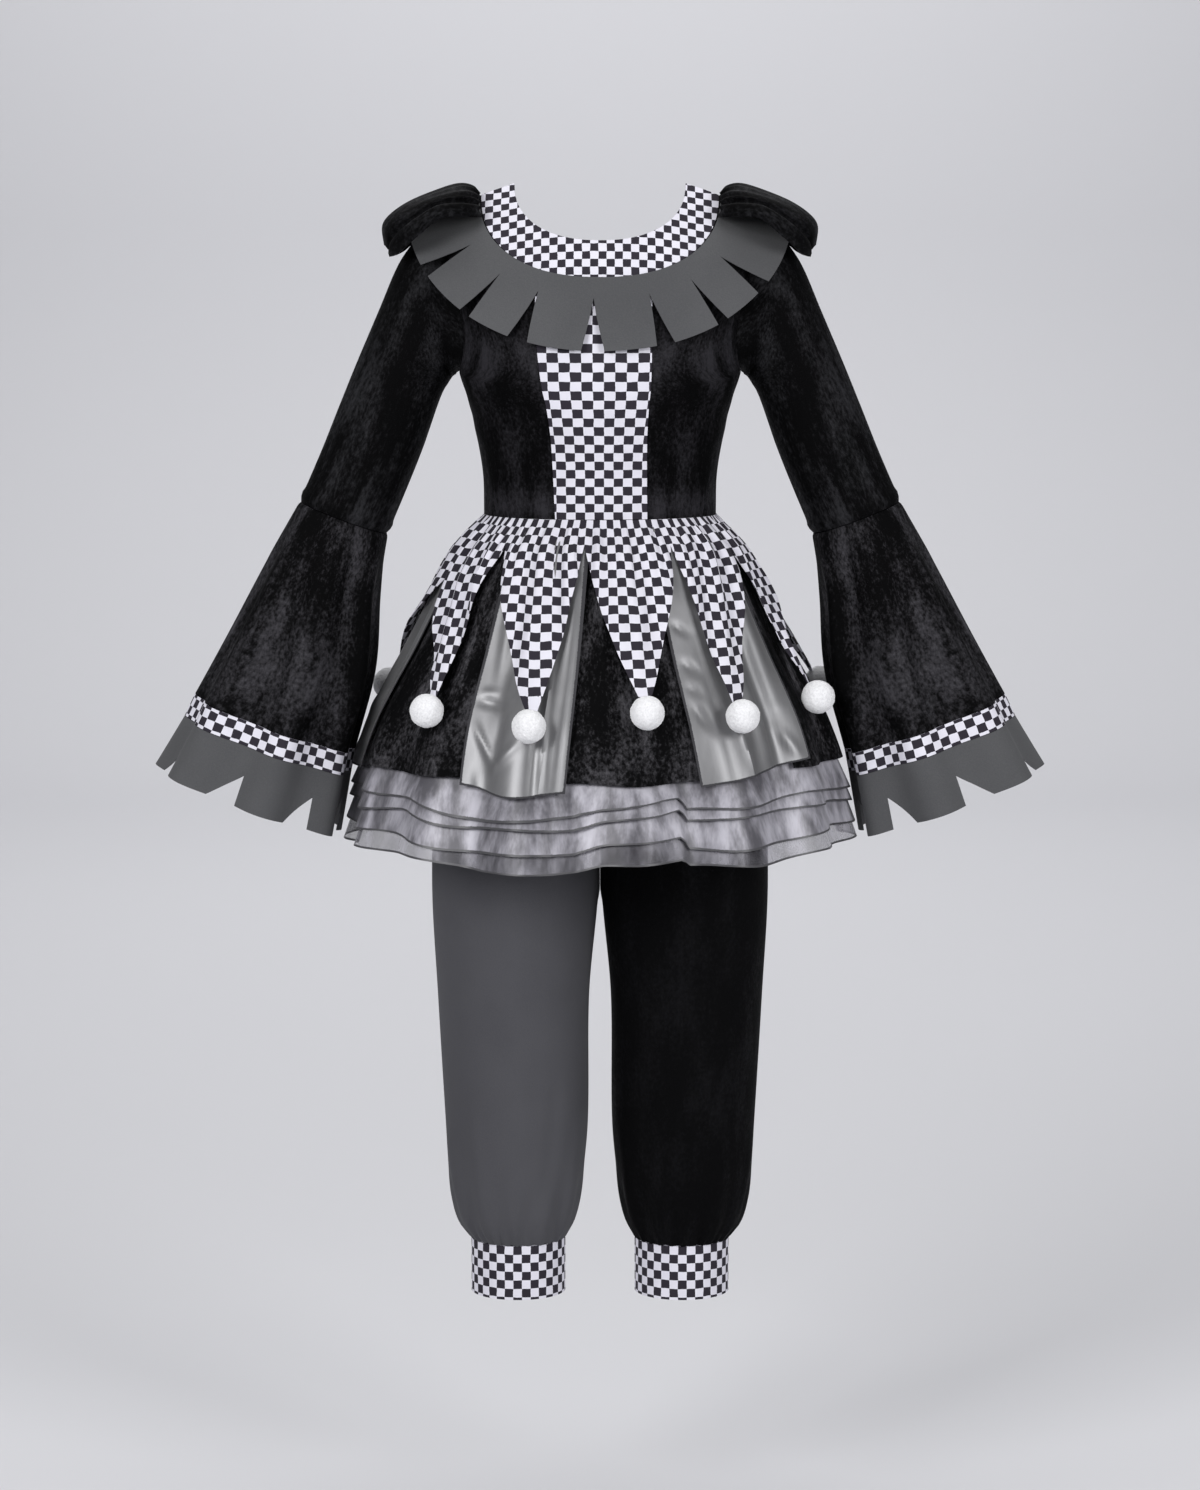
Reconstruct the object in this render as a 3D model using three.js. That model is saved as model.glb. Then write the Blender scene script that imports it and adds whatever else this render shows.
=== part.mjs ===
// A jester costume of two garments, filled out as it is when worn: a dress with a chequered yoke, a slit
// collar, shoulder puffs, bell sleeves, a pointed peplum and a petal skirt over organza, and trousers with
// chequered ankle cuffs. Millimetres, +Z up, the front faces -Y. The origin lies midway between the two
// neck points of the shoulder line. Left and right are as the costume is worn: left is +X. Angles run round
// the body from 0 at the front, over 90 at the left.
import * as THREE from 'three';

const SEAM = 0.3;
const FIT = 0.4;

// Cloth thickness of each material, folded edges and seam allowances included
const THICK = { check: 1.0, velvet: 1.4, felt: 1.2, satin: 1.0, organza: 1.0, crepe: 1.2, elastic: 1.4 };

const FINISH = {
  check: { color: 0x8e8c94, roughness: 0.8, metalness: 0 },
  velvet: { color: 0x0c0b0d, roughness: 0.7, metalness: 0 },
  felt: { color: 0x55565a, roughness: 0.9, metalness: 0 },
  satin: { color: 0x9a999c, roughness: 0.35, metalness: 0.1 },
  organza: { color: 0xb5b3bd, roughness: 0.5, metalness: 0 },
  crepe: { color: 0x4a4a4f, roughness: 0.85, metalness: 0 },
  black: { color: 0x070708, roughness: 0.8, metalness: 0 },
  fluff: { color: 0xf2f2f4, roughness: 1.0, metalness: 0 },
};

// The figure that fills the dress, as rings from the neck edge down to the waist seam. side, front and back
// are the heights of a ring at the shoulder line, the front middle and the back middle. square and fall
// shape it between them.
const NECK = 0;
const YOKE = 1;
const SHOULDER = 3;
const ARMPIT = 6;
const WAIST = 10;
const FIGURE = [
  { halfWidth: 101, side: 0, frontDepth: 74, front: -66, backDepth: 82, back: -76, square: 0.88, fall: 0.88 },
  { halfWidth: 140, side: -14, frontDepth: 99, front: -109, backDepth: 105, back: -112, square: 0.88,
    fall: 0.88 },
  { halfWidth: 165, side: -30, frontDepth: 107, front: -134, backDepth: 110, back: -134, square: 0.88,
    fall: 1.0 },
  { halfWidth: 186, side: -50, frontDepth: 113, front: -158, backDepth: 112, back: -156, square: 0.88,
    fall: 1.2 },
  { halfWidth: 184, side: -110, frontDepth: 121, front: -187, backDepth: 112, back: -182, square: 0.88,
    fall: 1.4 },
  { halfWidth: 176, side: -170, frontDepth: 126, front: -212, backDepth: 110, back: -206, square: 0.88,
    fall: 1.5 },
  { halfWidth: 167, side: -221, frontDepth: 128, front: -236, backDepth: 107, back: -230, square: 0.9,
    fall: 1.5 },
  { halfWidth: 156, side: -255, frontDepth: 126, front: -262, backDepth: 103, back: -257, square: 0.92,
    fall: 1.5 },
  { halfWidth: 146, side: -299, frontDepth: 117, front: -300, backDepth: 98, back: -299, square: 0.94,
    fall: 1.5 },
  { halfWidth: 139, side: -344, frontDepth: 107, front: -344, backDepth: 93, back: -344, square: 0.96,
    fall: 1.5 },
  { halfWidth: 138, side: -389.5, frontDepth: 100, front: -389.5, backDepth: 92, back: -389.5,
    square: 0.98, fall: 1.5 },
];

const ARMHOLE_HALF_ANGLE = 28;
const ARMHOLE_STEPS = 6;

// The chequered front panel, down its seams: its width at the right and at the left of the body's middle
const FRONT_PANEL = [
  { v: 1, right: 76, left: 61 },
  { v: 4, right: 74, left: 60.5 },
  { v: 6, right: 68, left: 59 },
  { v: 7, right: 62, left: 56.5 },
  { v: 8, right: 57, left: 55 },
  { v: 10, right: 52.5, left: 55.5 },
];

// The collar: a flat ring sewn to the yoke, cut by narrow wedges into square tabs
const COLLAR_EDGE = { halfWidth: 225, side: -46.3, frontDepth: 128, front: -193, backDepth: 130, back: -192,
  square: 0.9, fall: 1.15 };
const COLLAR_RISE = 2;
const SLIT_START = 0.28;
const COLLAR_FRONT = { from: -87, to: 87, slits: [
  { at: -64.2, half: 2.9 }, { at: -42.1, half: 1.9 }, { at: -22.8, half: 3.2 }, { at: -1.7, half: 2.6 },
  { at: 17.5, half: 2.8 }, { at: 37, half: 1.8 }, { at: 55.9, half: 3.2 }] };
const COLLAR_BACK = { from: 93, to: 267, slits: [
  { at: 120, half: 2.6 }, { at: 140, half: 2.4 }, { at: 160, half: 2.8 }, { at: 180, half: 2.6 },
  { at: 200, half: 2.8 }, { at: 220, half: 2.4 }, { at: 240, half: 2.6 }] };

// A shoulder puff, as arches from the yoke seam out over the arm: the ridge on top, and the lip at front
// and back
const PUFF = [
  { ridgeX: 142, ridgeZ: -10, lipX: 138, lipY: 30, lipZ: -40.4 },
  { ridgeX: 151, ridgeZ: -3, lipX: 146, lipY: 54, lipZ: -39 },
  { ridgeX: 168, ridgeZ: -1, lipX: 162, lipY: 72, lipZ: -38 },
  { ridgeX: 195, ridgeZ: -8, lipX: 186, lipY: 80, lipZ: -40 },
  { ridgeX: 224, ridgeZ: -19, lipX: 210, lipY: 80, lipZ: -59 },
  { ridgeX: 245, ridgeZ: -33, lipX: 228, lipY: 68, lipZ: -74 },
  { ridgeX: 256, ridgeZ: -49, lipX: 240, lipY: 46, lipZ: -83 },
  { ridgeX: 254, ridgeZ: -72, lipX: 248, lipY: 20, lipZ: -86 },
];
const PUFF_LIP = 0.88;
const PUFF_CREASE = { at: 0.7, width: 0.075, depth: 6, lipY: 80, start: 1.5 };
const PUFF_HEM = { width: 9, rise: 3.5, middle: 195 };

// The sleeve below the armhole, and the bell below the elbow, as tilted rings: the point on the outside of
// the arm, the point on its inside, and half the depth between them
const SLEEVE = [
  { outX: 213, outZ: -59, inX: 172.5, inZ: -224.5, depth: 62 },
  { outX: 238, outZ: -95, inX: 176, inZ: -229, depth: 61 },
  { outX: 262, outZ: -150, inX: 180.5, inZ: -236, depth: 59 },
  { outX: 288, outZ: -210, inX: 187.5, inZ: -250, depth: 57 },
  { outX: 309.5, outZ: -262, inX: 206.5, inZ: -303, depth: 55 },
  { outX: 331.5, outZ: -316, inX: 229, inZ: -358, depth: 54 },
  { outX: 357, outZ: -374, inX: 252.5, inZ: -413, depth: 54 },
];
const BELL = [
  { outX: 357, outZ: -374.6, inX: 252.5, inZ: -413.6, depth: 54, flute: 0 },
  { outX: 398, outZ: -451, inX: 264, inZ: -488, depth: 63, flute: 3 },
  { outX: 439, outZ: -529, inX: 272, inZ: -580, depth: 71, flute: 5 },
  { outX: 482, outZ: -607, inX: 295.8, inZ: -674, depth: 77, flute: 6 },
];
const BAND = [
  { outX: 482.2, outZ: -607.6, inX: 296, inZ: -674.6, depth: 77, flute: 6 },
  { outX: 494.5, outZ: -633, inX: 301, inZ: -701, depth: 80, flute: 6 },
];
const CUFF_FRILL = [
  { outX: 494.7, outZ: -633.6, inX: 301.1, inZ: -701.6, depth: 80, flute: 6 },
  { outX: 511.5, outZ: -663, inX: 308, inZ: -738, depth: 84, flute: 7 },
  { outX: 529, outZ: -693, inX: 315, inZ: -774, depth: 88, flute: 8 },
];
const BELL_FLUTES = 7;
const FRILL_NOTCHES = 7;
const FRILL_FIRST_NOTCH = 30.3;
const NOTCH_TOP = 0.47;
const NOTCH_SLANT = 0.34;
const NOTCH_STEEP = 0.02;

// The skirt's outline at the satin petals, by how far below the waist seam it is: half the width, and the
// depth of the front and of the back as shares of it
const SKIRT = [
  { drop: 0, halfWidth: 136.8, front: 0.72, back: 0.66 },
  { drop: 25, halfWidth: 157, front: 0.75, back: 0.72 },
  { drop: 50, halfWidth: 174, front: 0.77, back: 0.75 },
  { drop: 80, halfWidth: 191, front: 0.79, back: 0.78 },
  { drop: 120, halfWidth: 210, front: 0.8, back: 0.8 },
  { drop: 160, halfWidth: 230, front: 0.81, back: 0.82 },
  { drop: 200, halfWidth: 252, front: 0.82, back: 0.83 },
  { drop: 240, halfWidth: 272, front: 0.83, back: 0.84 },
  { drop: 290, halfWidth: 290, front: 0.83, back: 0.85 },
  { drop: 340, halfWidth: 303, front: 0.84, back: 0.86 },
  { drop: 390, halfWidth: 311, front: 0.84, back: 0.86 },
];
const WAIST_Z = -390;
const FLUTES = 14;
const FLUTE_CREST = 8;
const FLUTE_DEPTH = 9;

// The twelve peplum points: the slit at the right edge of each, how far down it opens, how far down the
// point hangs, and how far round the body its end swings from the middle
const PEPLUM = [
  { slit: -122, open: 60, tip: 204, lean: -18 }, { slit: -72, open: 69, tip: 203, lean: 12.8 },
  { slit: -42, open: 31, tip: 213, lean: 8.1 }, { slit: -6.4, open: 27, tip: 198, lean: -1 },
  { slit: 30.4, open: 29, tip: 206, lean: -12.9 }, { slit: 64.6, open: 30, tip: 197, lean: -10 },
  { slit: 90, open: 38, tip: 200, lean: 7 }, { slit: 116.5, open: 36, tip: 203, lean: 5 },
  { slit: 141, open: 34, tip: 198, lean: 2 }, { slit: 165, open: 34, tip: 204, lean: -1 },
  { slit: 189.5, open: 36, tip: 199, lean: -3 }, { slit: 214, open: 38, tip: 202, lean: -4 },
];
const PEPLUM_END = 238;
const POINTS_IN_FRONT = 6;
const TIP_SHARE = 0.03;
const GATHERS_PER_POINT = 3;

// The petals of the skirt, satin over velvet: where each starts round the body, how far down its hem is at
// that edge and at its far edge, and how much lower it hangs between them
const PETALS = [
  { cloth: 'satin', from: -103, drop: 296, far: 296, sag: 5 },
  { cloth: 'velvet', from: -70, drop: 290, far: 290, sag: 2 },
  { cloth: 'satin', from: -37, drop: 298, far: 297, sag: 11 },
  { cloth: 'velvet', from: -5.1, drop: 292, far: 292, sag: 2 },
  { cloth: 'satin', from: 21, drop: 298, far: 282, sag: 4 },
  { cloth: 'velvet', from: 59.7, drop: 286, far: 288, sag: 2 },
  { cloth: 'satin', from: 95, drop: 298, far: 298, sag: 5 },
  { cloth: 'velvet', from: 122, drop: 293, far: 293, sag: 2 },
  { cloth: 'satin', from: 149, drop: 303, far: 303, sag: 5 },
  { cloth: 'velvet', from: 176, drop: 293, far: 293, sag: 2 },
  { cloth: 'satin', from: 203, drop: 300, far: 300, sag: 5 },
  { cloth: 'velvet', from: 230, drop: 294, far: 294, sag: 2 },
];
const PETALS_END = 257;
const PETAL_LAP = { satin: { top: 1.2, hem: -2.8 }, velvet: { top: 4, hem: 7 } };
const PETAL_SET_BACK = { satin: 0, velvet: 5.2 };
const PETAL_SET_BACK_TOP = { satin: 0, velvet: 1.7 };

// The organza layers, outermost first: rows down each, by drop, with how far each lies inside the skirt's
// outline
const ORGANZA = [
  { name: 'organza_1', rows: [{ drop: 215, inside: 15.5 }, { drop: 325, inside: 7 }] },
  { name: 'organza_2', rows: [{ drop: 213, inside: 16.9 }, { drop: 341, inside: 8.5 }] },
  { name: 'organza_3', rows: [{ drop: 211, inside: 18.3 }, { drop: 366, inside: 9.5 }] },
  { name: 'organza_4', rows: [{ drop: 0, inside: 3.4 }, { drop: 50, inside: 13 }, { drop: 205, inside: 19 },
    { drop: 389, inside: 10 }] },
];

// One leg of the trousers, from the waist down: above the crotch a ring is cut off at the middle of the body
const CROTCH_Z = -650;
const INSEAM_GAP = 0.0035;
const LEG = [
  { z: -390.4, middle: 0, halfWidth: 131.6, front: 93.2, back: 85 },
  { z: -450, middle: -8, halfWidth: 141, front: 101, back: 100 },
  { z: -540, middle: -34, halfWidth: 140, front: 109, back: 114 },
  { z: -610, middle: -70, halfWidth: 120, front: 107, back: 117 },
  { z: -650, middle: -98.5, halfWidth: 97.9, front: 102, back: 112 },
  { z: -665, middle: -99, halfWidth: 98.4, front: 101.6, back: 111 },
  { z: -835, middle: -101.9, halfWidth: 100.5, front: 97, back: 100.5 },
  { z: -970, middle: -104.5, halfWidth: 91.5, front: 90, back: 93 },
  { z: -1126, middle: -101, halfWidth: 86.4, front: 84, back: 86 },
  { z: -1195, middle: -102, halfWidth: 81, front: 79, back: 80 },
  { z: -1236, middle: -102, halfWidth: 73.5, front: 71, back: 72 },
  { z: -1258, middle: -101, halfWidth: 65.5, front: 62, back: 63 },
  { z: -1271, middle: -99.5, halfWidth: 57.6, front: 54, back: 54 },
];
const ANKLE_GATHERS = 12;
const ANKLE_GATHER_DEPTH = 2.4;
const ANKLE_CUFF = { top: -1271.4, bottom: -1338, middle: -99.5, halfWidth: 57.2, depth: 53.6 };
const WAISTBAND_HEIGHT = 28;

const POMPOM = { core: 15, reach: 19, out: 9.6, down: 12 };

const rad = THREE.MathUtils.degToRad;
const clamp01 = (t) => Math.min(1, Math.max(0, t));
const smooth = (t) => clamp01(t) ** 2 * (3 - 2 * clamp01(t));

// A value from a table's column, on a smooth curve through the rows. at is the name of the column that is
// searched.
function read(table, at, value, column) {
  const last = table.length - 1;
  const down = table[last][at] < table[0][at];
  let i = 0;
  while (i < last - 1 && (down ? value < table[i + 1][at] : value > table[i + 1][at])) i += 1;
  const x0 = table[i][at];
  const x1 = table[i + 1][at];
  const slope = (a, b) => (table[b][column] - table[a][column]) / (table[b][at] - table[a][at]);
  const s0 = slope(Math.max(0, i - 1), i + 1);
  const s1 = slope(i, Math.min(last, i + 2));
  const t = (value - x0) / (x1 - x0);
  const width = x1 - x0;
  const rise = 2 * t ** 3 - 3 * t ** 2;
  return (rise + 1) * table[i][column] + (t ** 3 - 2 * t ** 2 + t) * width * s0
    - rise * table[i + 1][column] + (t ** 3 - t ** 2) * width * s1;
}

// A point at an angle on a ring that rises and falls round the body
function onRing(ring, angle) {
  const s = Math.sin(rad(angle));
  const c = Math.cos(rad(angle));
  const depth = c > 0 ? ring.frontDepth : ring.backDepth;
  const height = c > 0 ? ring.front : ring.back;
  return new THREE.Vector3(
    ring.halfWidth * Math.sign(s) * Math.abs(s) ** ring.square,
    -depth * Math.sign(c) * Math.abs(c) ** ring.square,
    ring.side + (height - ring.side) * Math.abs(c) ** ring.fall,
  );
}

// The figure's surface at an angle and at a level v, which counts the rows of FIGURE
const figureRows = FIGURE.map((row, v) => ({ ...row, v }));
function figure(angle, v) {
  const ring = {};
  for (const column of Object.keys(FIGURE[0])) ring[column] = read(figureRows, 'v', v, column);
  return onRing(ring, angle);
}

// A cloth wall. surface(a, b) is its outer face, and params(row, column) gives a and b at each grid point,
// with the rows running down the cloth. side is 1 where a runs anticlockwise seen from above, and -1 where
// it runs the other way.
function clothWall({ surface, params, rows, columns, thickness, side = 1, closed = false, mirror = false,
  step = [0.4, 0.02] }) {
  const across = closed ? columns : columns + 1;
  const outer = [];
  const inner = [];
  for (let i = 0; i <= rows; i += 1) {
    for (let j = 0; j < across; j += 1) {
      const [a, b] = params(i, j);
      const point = surface(a, b);
      const alongA = surface(a + step[0], b).sub(surface(a - step[0], b));
      const alongB = surface(a, b + step[1]).sub(surface(a, b - step[1]));
      const normal = alongB.cross(alongA).normalize().multiplyScalar(side);
      outer.push(point);
      inner.push(point.clone().addScaledVector(normal, -thickness));
    }
  }
  const points = [...outer, ...inner];
  const flipX = mirror ? -1 : 1;
  const positions = points.flatMap((p) => [p.x * flipX, p.y, p.z]);
  const at = (i, j, layer) => layer * outer.length + i * across + (j % across);
  const index = [];
  const outwards = side * flipX > 0;
  const quad = (a, b, c, d) => {
    if (outwards) index.push(a, b, c, a, c, d);
    else index.push(a, c, b, a, d, c);
  };
  for (let i = 0; i < rows; i += 1) {
    for (let j = 0; j < columns; j += 1) {
      quad(at(i, j, 0), at(i + 1, j, 0), at(i + 1, j + 1, 0), at(i, j + 1, 0));
      quad(at(i, j, 1), at(i, j + 1, 1), at(i + 1, j + 1, 1), at(i + 1, j, 1));
    }
  }
  for (let j = 0; j < columns; j += 1) {
    quad(at(0, j, 1), at(0, j, 0), at(0, j + 1, 0), at(0, j + 1, 1));
    quad(at(rows, j, 0), at(rows, j, 1), at(rows, j + 1, 1), at(rows, j + 1, 0));
  }
  for (let i = 0; i < rows && !closed; i += 1) {
    quad(at(i, 0, 1), at(i + 1, 0, 1), at(i + 1, 0, 0), at(i, 0, 0));
    quad(at(i, columns, 0), at(i + 1, columns, 0), at(i + 1, columns, 1), at(i, columns, 1));
  }
  const geometry = new THREE.BufferGeometry();
  geometry.setAttribute('position', new THREE.Float32BufferAttribute(positions, 3));
  geometry.setIndex(index);
  return geometry;
}

const costume = new THREE.Group();
function add(name, cloth, geometry) {
  const mesh = new THREE.Mesh(geometry, new THREE.MeshStandardMaterial(FINISH[cloth]));
  mesh.name = name;
  costume.add(mesh);
  return mesh;
}

// Half of a seam's gap, as an angle on a ring of that half width
const seamAngle = (halfWidth) => THREE.MathUtils.radToDeg(SEAM / 2 / halfWidth);
const SEAM_V = 0.006;

const PANEL_COLUMNS = { front: 8, side: 6, back: 9 };
const spread = (from, to, count) => Array.from({ length: count + 1 }, (_,
  i) => from + ((to - from) * i) / count);

// The angle of the seam beside the front panel at a level, at the right or the left of the body's middle
function frontSeam(v, side) {
  const ring = { halfWidth: read(figureRows, 'v', v, 'halfWidth'), square: read(figureRows, 'v', v,
    'square') };
  const share = read(FRONT_PANEL, 'v', v, side) / ring.halfWidth;
  return THREE.MathUtils.radToDeg(Math.asin(share ** (1 / ring.square)));
}

// The chequered yoke, a front and a back half that meet at the shoulder line
function addYoke() {
  const rows = 2;
  const edge = seamAngle(FIGURE[NECK].halfWidth);
  const [right, left] = [-frontSeam(YOKE, 'right'), frontSeam(YOKE, 'left')];
  const front = spread(-90, right, PANEL_COLUMNS.side).slice(0, -1)
    .concat(spread(right, left, PANEL_COLUMNS.front))
    .concat(spread(left, 90, PANEL_COLUMNS.side).slice(1));
  const back = spread(90, 270, PANEL_COLUMNS.back * 2);
  for (const [name, angles] of [['yoke_front', front], ['yoke_back', back]]) {
    const last = angles.length - 1;
    angles[0] += edge;
    angles[last] -= edge;
    add(name, 'check', clothWall({ surface: figure, rows, columns: last, thickness: THICK.check,
      params: (i, j) => [angles[j], NECK + (i / rows) * (YOKE - SEAM_V)] }));
  }
}

// The levels of the bodice's rows: the ones beside the armhole are shared with the sleeve's first ring
const armholeLevel = (t) => SHOULDER + (ARMPIT - SHOULDER) * (1 - Math.cos(Math.PI * t)) / 2;
const armholeAngle = (t) => ARMHOLE_HALF_ANGLE * Math.sin(Math.PI * t);
const armholeSteps = Array.from({ length: ARMHOLE_STEPS + 1 }, (_, i) => i / ARMHOLE_STEPS);
const bodiceLevels = [
  { v: YOKE + SEAM_V, cut: 0 },
  { v: 2, cut: 0 },
  ...armholeSteps.map((t) => ({ v: armholeLevel(t), cut: armholeAngle(t) })),
  { v: 7, cut: 0 }, { v: 8, cut: 0 }, { v: 9, cut: 0 },
  { v: WAIST, cut: 0 },
];

function addBodice() {
  const rows = bodiceLevels.length - 1;
  const seam = seamAngle(FIGURE[WAIST].halfWidth);
  const panel = (name, cloth, columns, edges, mirror = false) => add(name, cloth, clothWall({
    surface: figure, rows, columns, thickness: THICK[cloth], mirror,
    params: (i, j) => {
      const { v, cut } = bodiceLevels[i];
      const [from, to] = edges(v, cut);
      return [from + seam + (j / columns) * (to - from - 2 * seam), v];
    } }));
  panel('front_panel', 'check', PANEL_COLUMNS.front, (v) => [-frontSeam(v, 'right'), frontSeam(v, 'left')]);
  for (const [side, mirror] of [['left', false], ['right', true]]) {
    panel(`front_side_${side}`, 'velvet', PANEL_COLUMNS.side, (v, cut) => [frontSeam(v, side),
      90 - cut], mirror);
    panel(`back_${side}`, 'velvet', PANEL_COLUMNS.back, (v, cut) => [90 + cut, 180], mirror);
  }
}

// The armhole as a loop: a is 0 at the shoulder, 0.5 at the armpit, and runs down the back and up the front
const ARM_CENTRE = new THREE.Vector3(180, 0, -135);
function armhole(a) {
  const turn = a - Math.floor(a);
  const t = turn < 0.5 ? turn * 2 : 2 - turn * 2;
  const cut = armholeAngle(t);
  const point = figure(turn < 0.5 ? 90 + cut : 90 - cut, armholeLevel(t));
  const inwards = ARM_CENTRE.clone().sub(point).setX(0).normalize();
  return point.addScaledVector(inwards, FIT);
}

// A point on a tilted ring of the arm: turn is 0 at the outside of the arm, a quarter at the back
function armRing(table, b, turn, radiusShare = 1) {
  const rows = table.map((row, v) => ({ ...row, v }));
  const ring = {};
  for (const column of Object.keys(table[0])) ring[column] = read(rows, 'v', b, column);
  const angle = turn * 2 * Math.PI;
  const flute = (ring.flute ?? 0) * Math.cos(BELL_FLUTES * angle - 0.6);
  const middleX = (ring.outX + ring.inX) / 2;
  const middleZ = (ring.outZ + ring.inZ) / 2;
  const half = Math.hypot(ring.outX - ring.inX, ring.outZ - ring.inZ) / 2;
  const along = Math.cos(angle) * (half + flute) * radiusShare;
  return new THREE.Vector3(
    middleX + ((ring.outX - ring.inX) / 2 / half) * along,
    Math.sin(angle) * (ring.depth + flute) * radiusShare,
    middleZ + ((ring.outZ - ring.inZ) / 2 / half) * along,
  );
}

function sleeveSurface(a, b) {
  if (b >= 1) return armRing(SLEEVE, b - 1, a);
  return armhole(a).lerp(armRing(SLEEVE, 0, a), b);
}

// How far down the frill reaches at a turn, as a share of its length: each notch is steep on the body's side
function frillColumns() {
  const pitch = 1 / FRILL_NOTCHES;
  return Array.from({ length: FRILL_NOTCHES }, (_, k) => {
    const start = 1 - FRILL_FIRST_NOTCH / 360 - k * pitch;
    return [
      { turn: start, reach: NOTCH_TOP },
      { turn: start + pitch * NOTCH_SLANT, reach: 1 },
      { turn: start + pitch * (NOTCH_SLANT + 1) / 2, reach: 1 },
      { turn: start + pitch * (1 - NOTCH_STEEP), reach: 1 },
    ];
  }).reverse().flat();
}

function addSleeves() {
  const tube = (name, cloth, table, rows, columns, mirror) => add(name, cloth, clothWall({
    surface: (a, b) => armRing(table, b, a), closed: true, rows, columns, mirror, step: [0.002, 0.02],
    thickness: THICK[cloth], params: (i, j) => [j / columns, (i / rows) * (table.length - 1)] }));
  for (const [side, mirror] of [['left', false], ['right', true]]) {
    add(`sleeve_${side}`, 'velvet', clothWall({ surface: sleeveSurface, closed: true, rows: SLEEVE.length,
      columns: ARMHOLE_STEPS * 2, thickness: THICK.velvet, mirror, step: [0.002, 0.05],
      params: (i, j) => [j / (ARMHOLE_STEPS * 2), i === 0 ? 0.06 : i] }));
    tube(`bell_${side}`, 'velvet', BELL, 3, 28, mirror);
    tube(`sleeve_band_${side}`, 'check', BAND, 1, 28, mirror);
    const columns = frillColumns();
    add(`sleeve_frill_${side}`, 'felt', clothWall({ surface: (a, b) => armRing(CUFF_FRILL, b, a),
      closed: true,
      rows: 2, columns: columns.length, thickness: THICK.felt, mirror, step: [0.002, 0.02],
      params: (i, j) => [columns[j].turn, (i / 2) * columns[j].reach * (CUFF_FRILL.length - 1)] }));
  }
}

// The collar's surface: s is 0 at the yoke seam and 1 at the ends of the tabs
function collarSurface(angle, s) {
  const start = figure(angle, YOKE);
  const outwards = new THREE.Vector3(start.x, start.y, 60).normalize();
  return start.addScaledVector(outwards, COLLAR_RISE).lerp(onRing(COLLAR_EDGE, angle), s);
}

function addCollar() {
  const rows = 2;
  for (const [name, cut] of [['collar_front', COLLAR_FRONT], ['collar_back', COLLAR_BACK]]) {
    const columns = [{ angle: cut.from, reach: 1 }];
    const tab = (to) => {
      const from = columns[columns.length - 1].angle;
      for (const share of [1 / 3, 2 / 3, 1]) columns.push({ angle: from + (to - from) * share, reach: 1 });
    };
    for (const { at, half } of cut.slits) {
      tab(at - half);
      columns.push({ angle: at, reach: SLIT_START }, { angle: at + half, reach: 1 });
    }
    tab(cut.to);
    add(name, 'felt', clothWall({ surface: collarSurface, rows, columns: columns.length - 1,
      thickness: THICK.felt,
      params: (i, j) => [columns[j].angle, (i / rows) * columns[j].reach] }));
  }
}

// A puff's surface: a runs over the arch from the hem inside the back lip, -1, to the one inside the front
// lip, 1, and b counts the arches outwards from the yoke seam. A soft crease parts the top from the roll
// above each lip.
const puffRows = PUFF.map((row, v) => ({ ...row, v }));
function puffSurface(a, b) {
  const arch = {};
  for (const column of Object.keys(PUFF[0])) arch[column] = read(puffRows, 'v', b, column);
  const share = Math.min(Math.abs(a) / PUFF_LIP, 1);
  const turn = share * Math.PI / 2;
  const depth = PUFF_CREASE.depth * (arch.lipY / PUFF_CREASE.lipY) * smooth(b / PUFF_CREASE.start)
    * Math.exp(-(((share - PUFF_CREASE.at) / PUFF_CREASE.width) ** 2));
  const front = -Math.sign(a || 1);
  const point = new THREE.Vector3(
    arch.ridgeX + (arch.lipX - arch.ridgeX) * (1 - Math.cos(turn)),
    front * (arch.lipY - depth) * Math.sin(turn),
    arch.lipZ + (arch.ridgeZ - arch.lipZ) * Math.cos(turn) ** 0.8 - depth * Math.cos(turn),
  );
  const under = Math.max(Math.abs(a) - PUFF_LIP, 0) / (1 - PUFF_LIP);
  const inwards = new THREE.Vector3(PUFF_HEM.middle - arch.lipX, -front * arch.lipY, 0).normalize();
  return point.addScaledVector(inwards, under * PUFF_HEM.width).add(new THREE.Vector3(0, 0,
    under * PUFF_HEM.rise));
}

function addPuffs() {
  const half = [0.25, 0.48, 0.62, 0.7, 0.79, PUFF_LIP, 1];
  const stops = [...half.map((stop) => -stop).reverse(), 0, ...half];
  for (const [side, mirror] of [['left', false], ['right', true]]) {
    add(`shoulder_puff_${side}`, 'velvet', clothWall({ surface: puffSurface, rows: PUFF.length - 1,
      columns: stops.length - 1, thickness: THICK.velvet, mirror, side: -1, step: [0.02, 0.02],
      params: (i, j) => [stops[j], i] }));
  }
}

// The skirt's outline at an angle and a drop below the waist, moved out or in
function skirtPoint(angle, drop, out) {
  const width = read(SKIRT, 'drop', drop, 'halfWidth');
  const c = Math.cos(rad(angle));
  const depth = width * read(SKIRT, 'drop', drop, c > 0 ? 'front' : 'back');
  const flute = FLUTE_DEPTH * smooth(drop / 390) * Math.cos(rad(FLUTES * (angle - FLUTE_CREST)));
  const move = out + flute;
  return new THREE.Vector3((width + move) * Math.sin(rad(angle)), -(depth + move) * c, WAIST_Z - drop);
}

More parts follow.
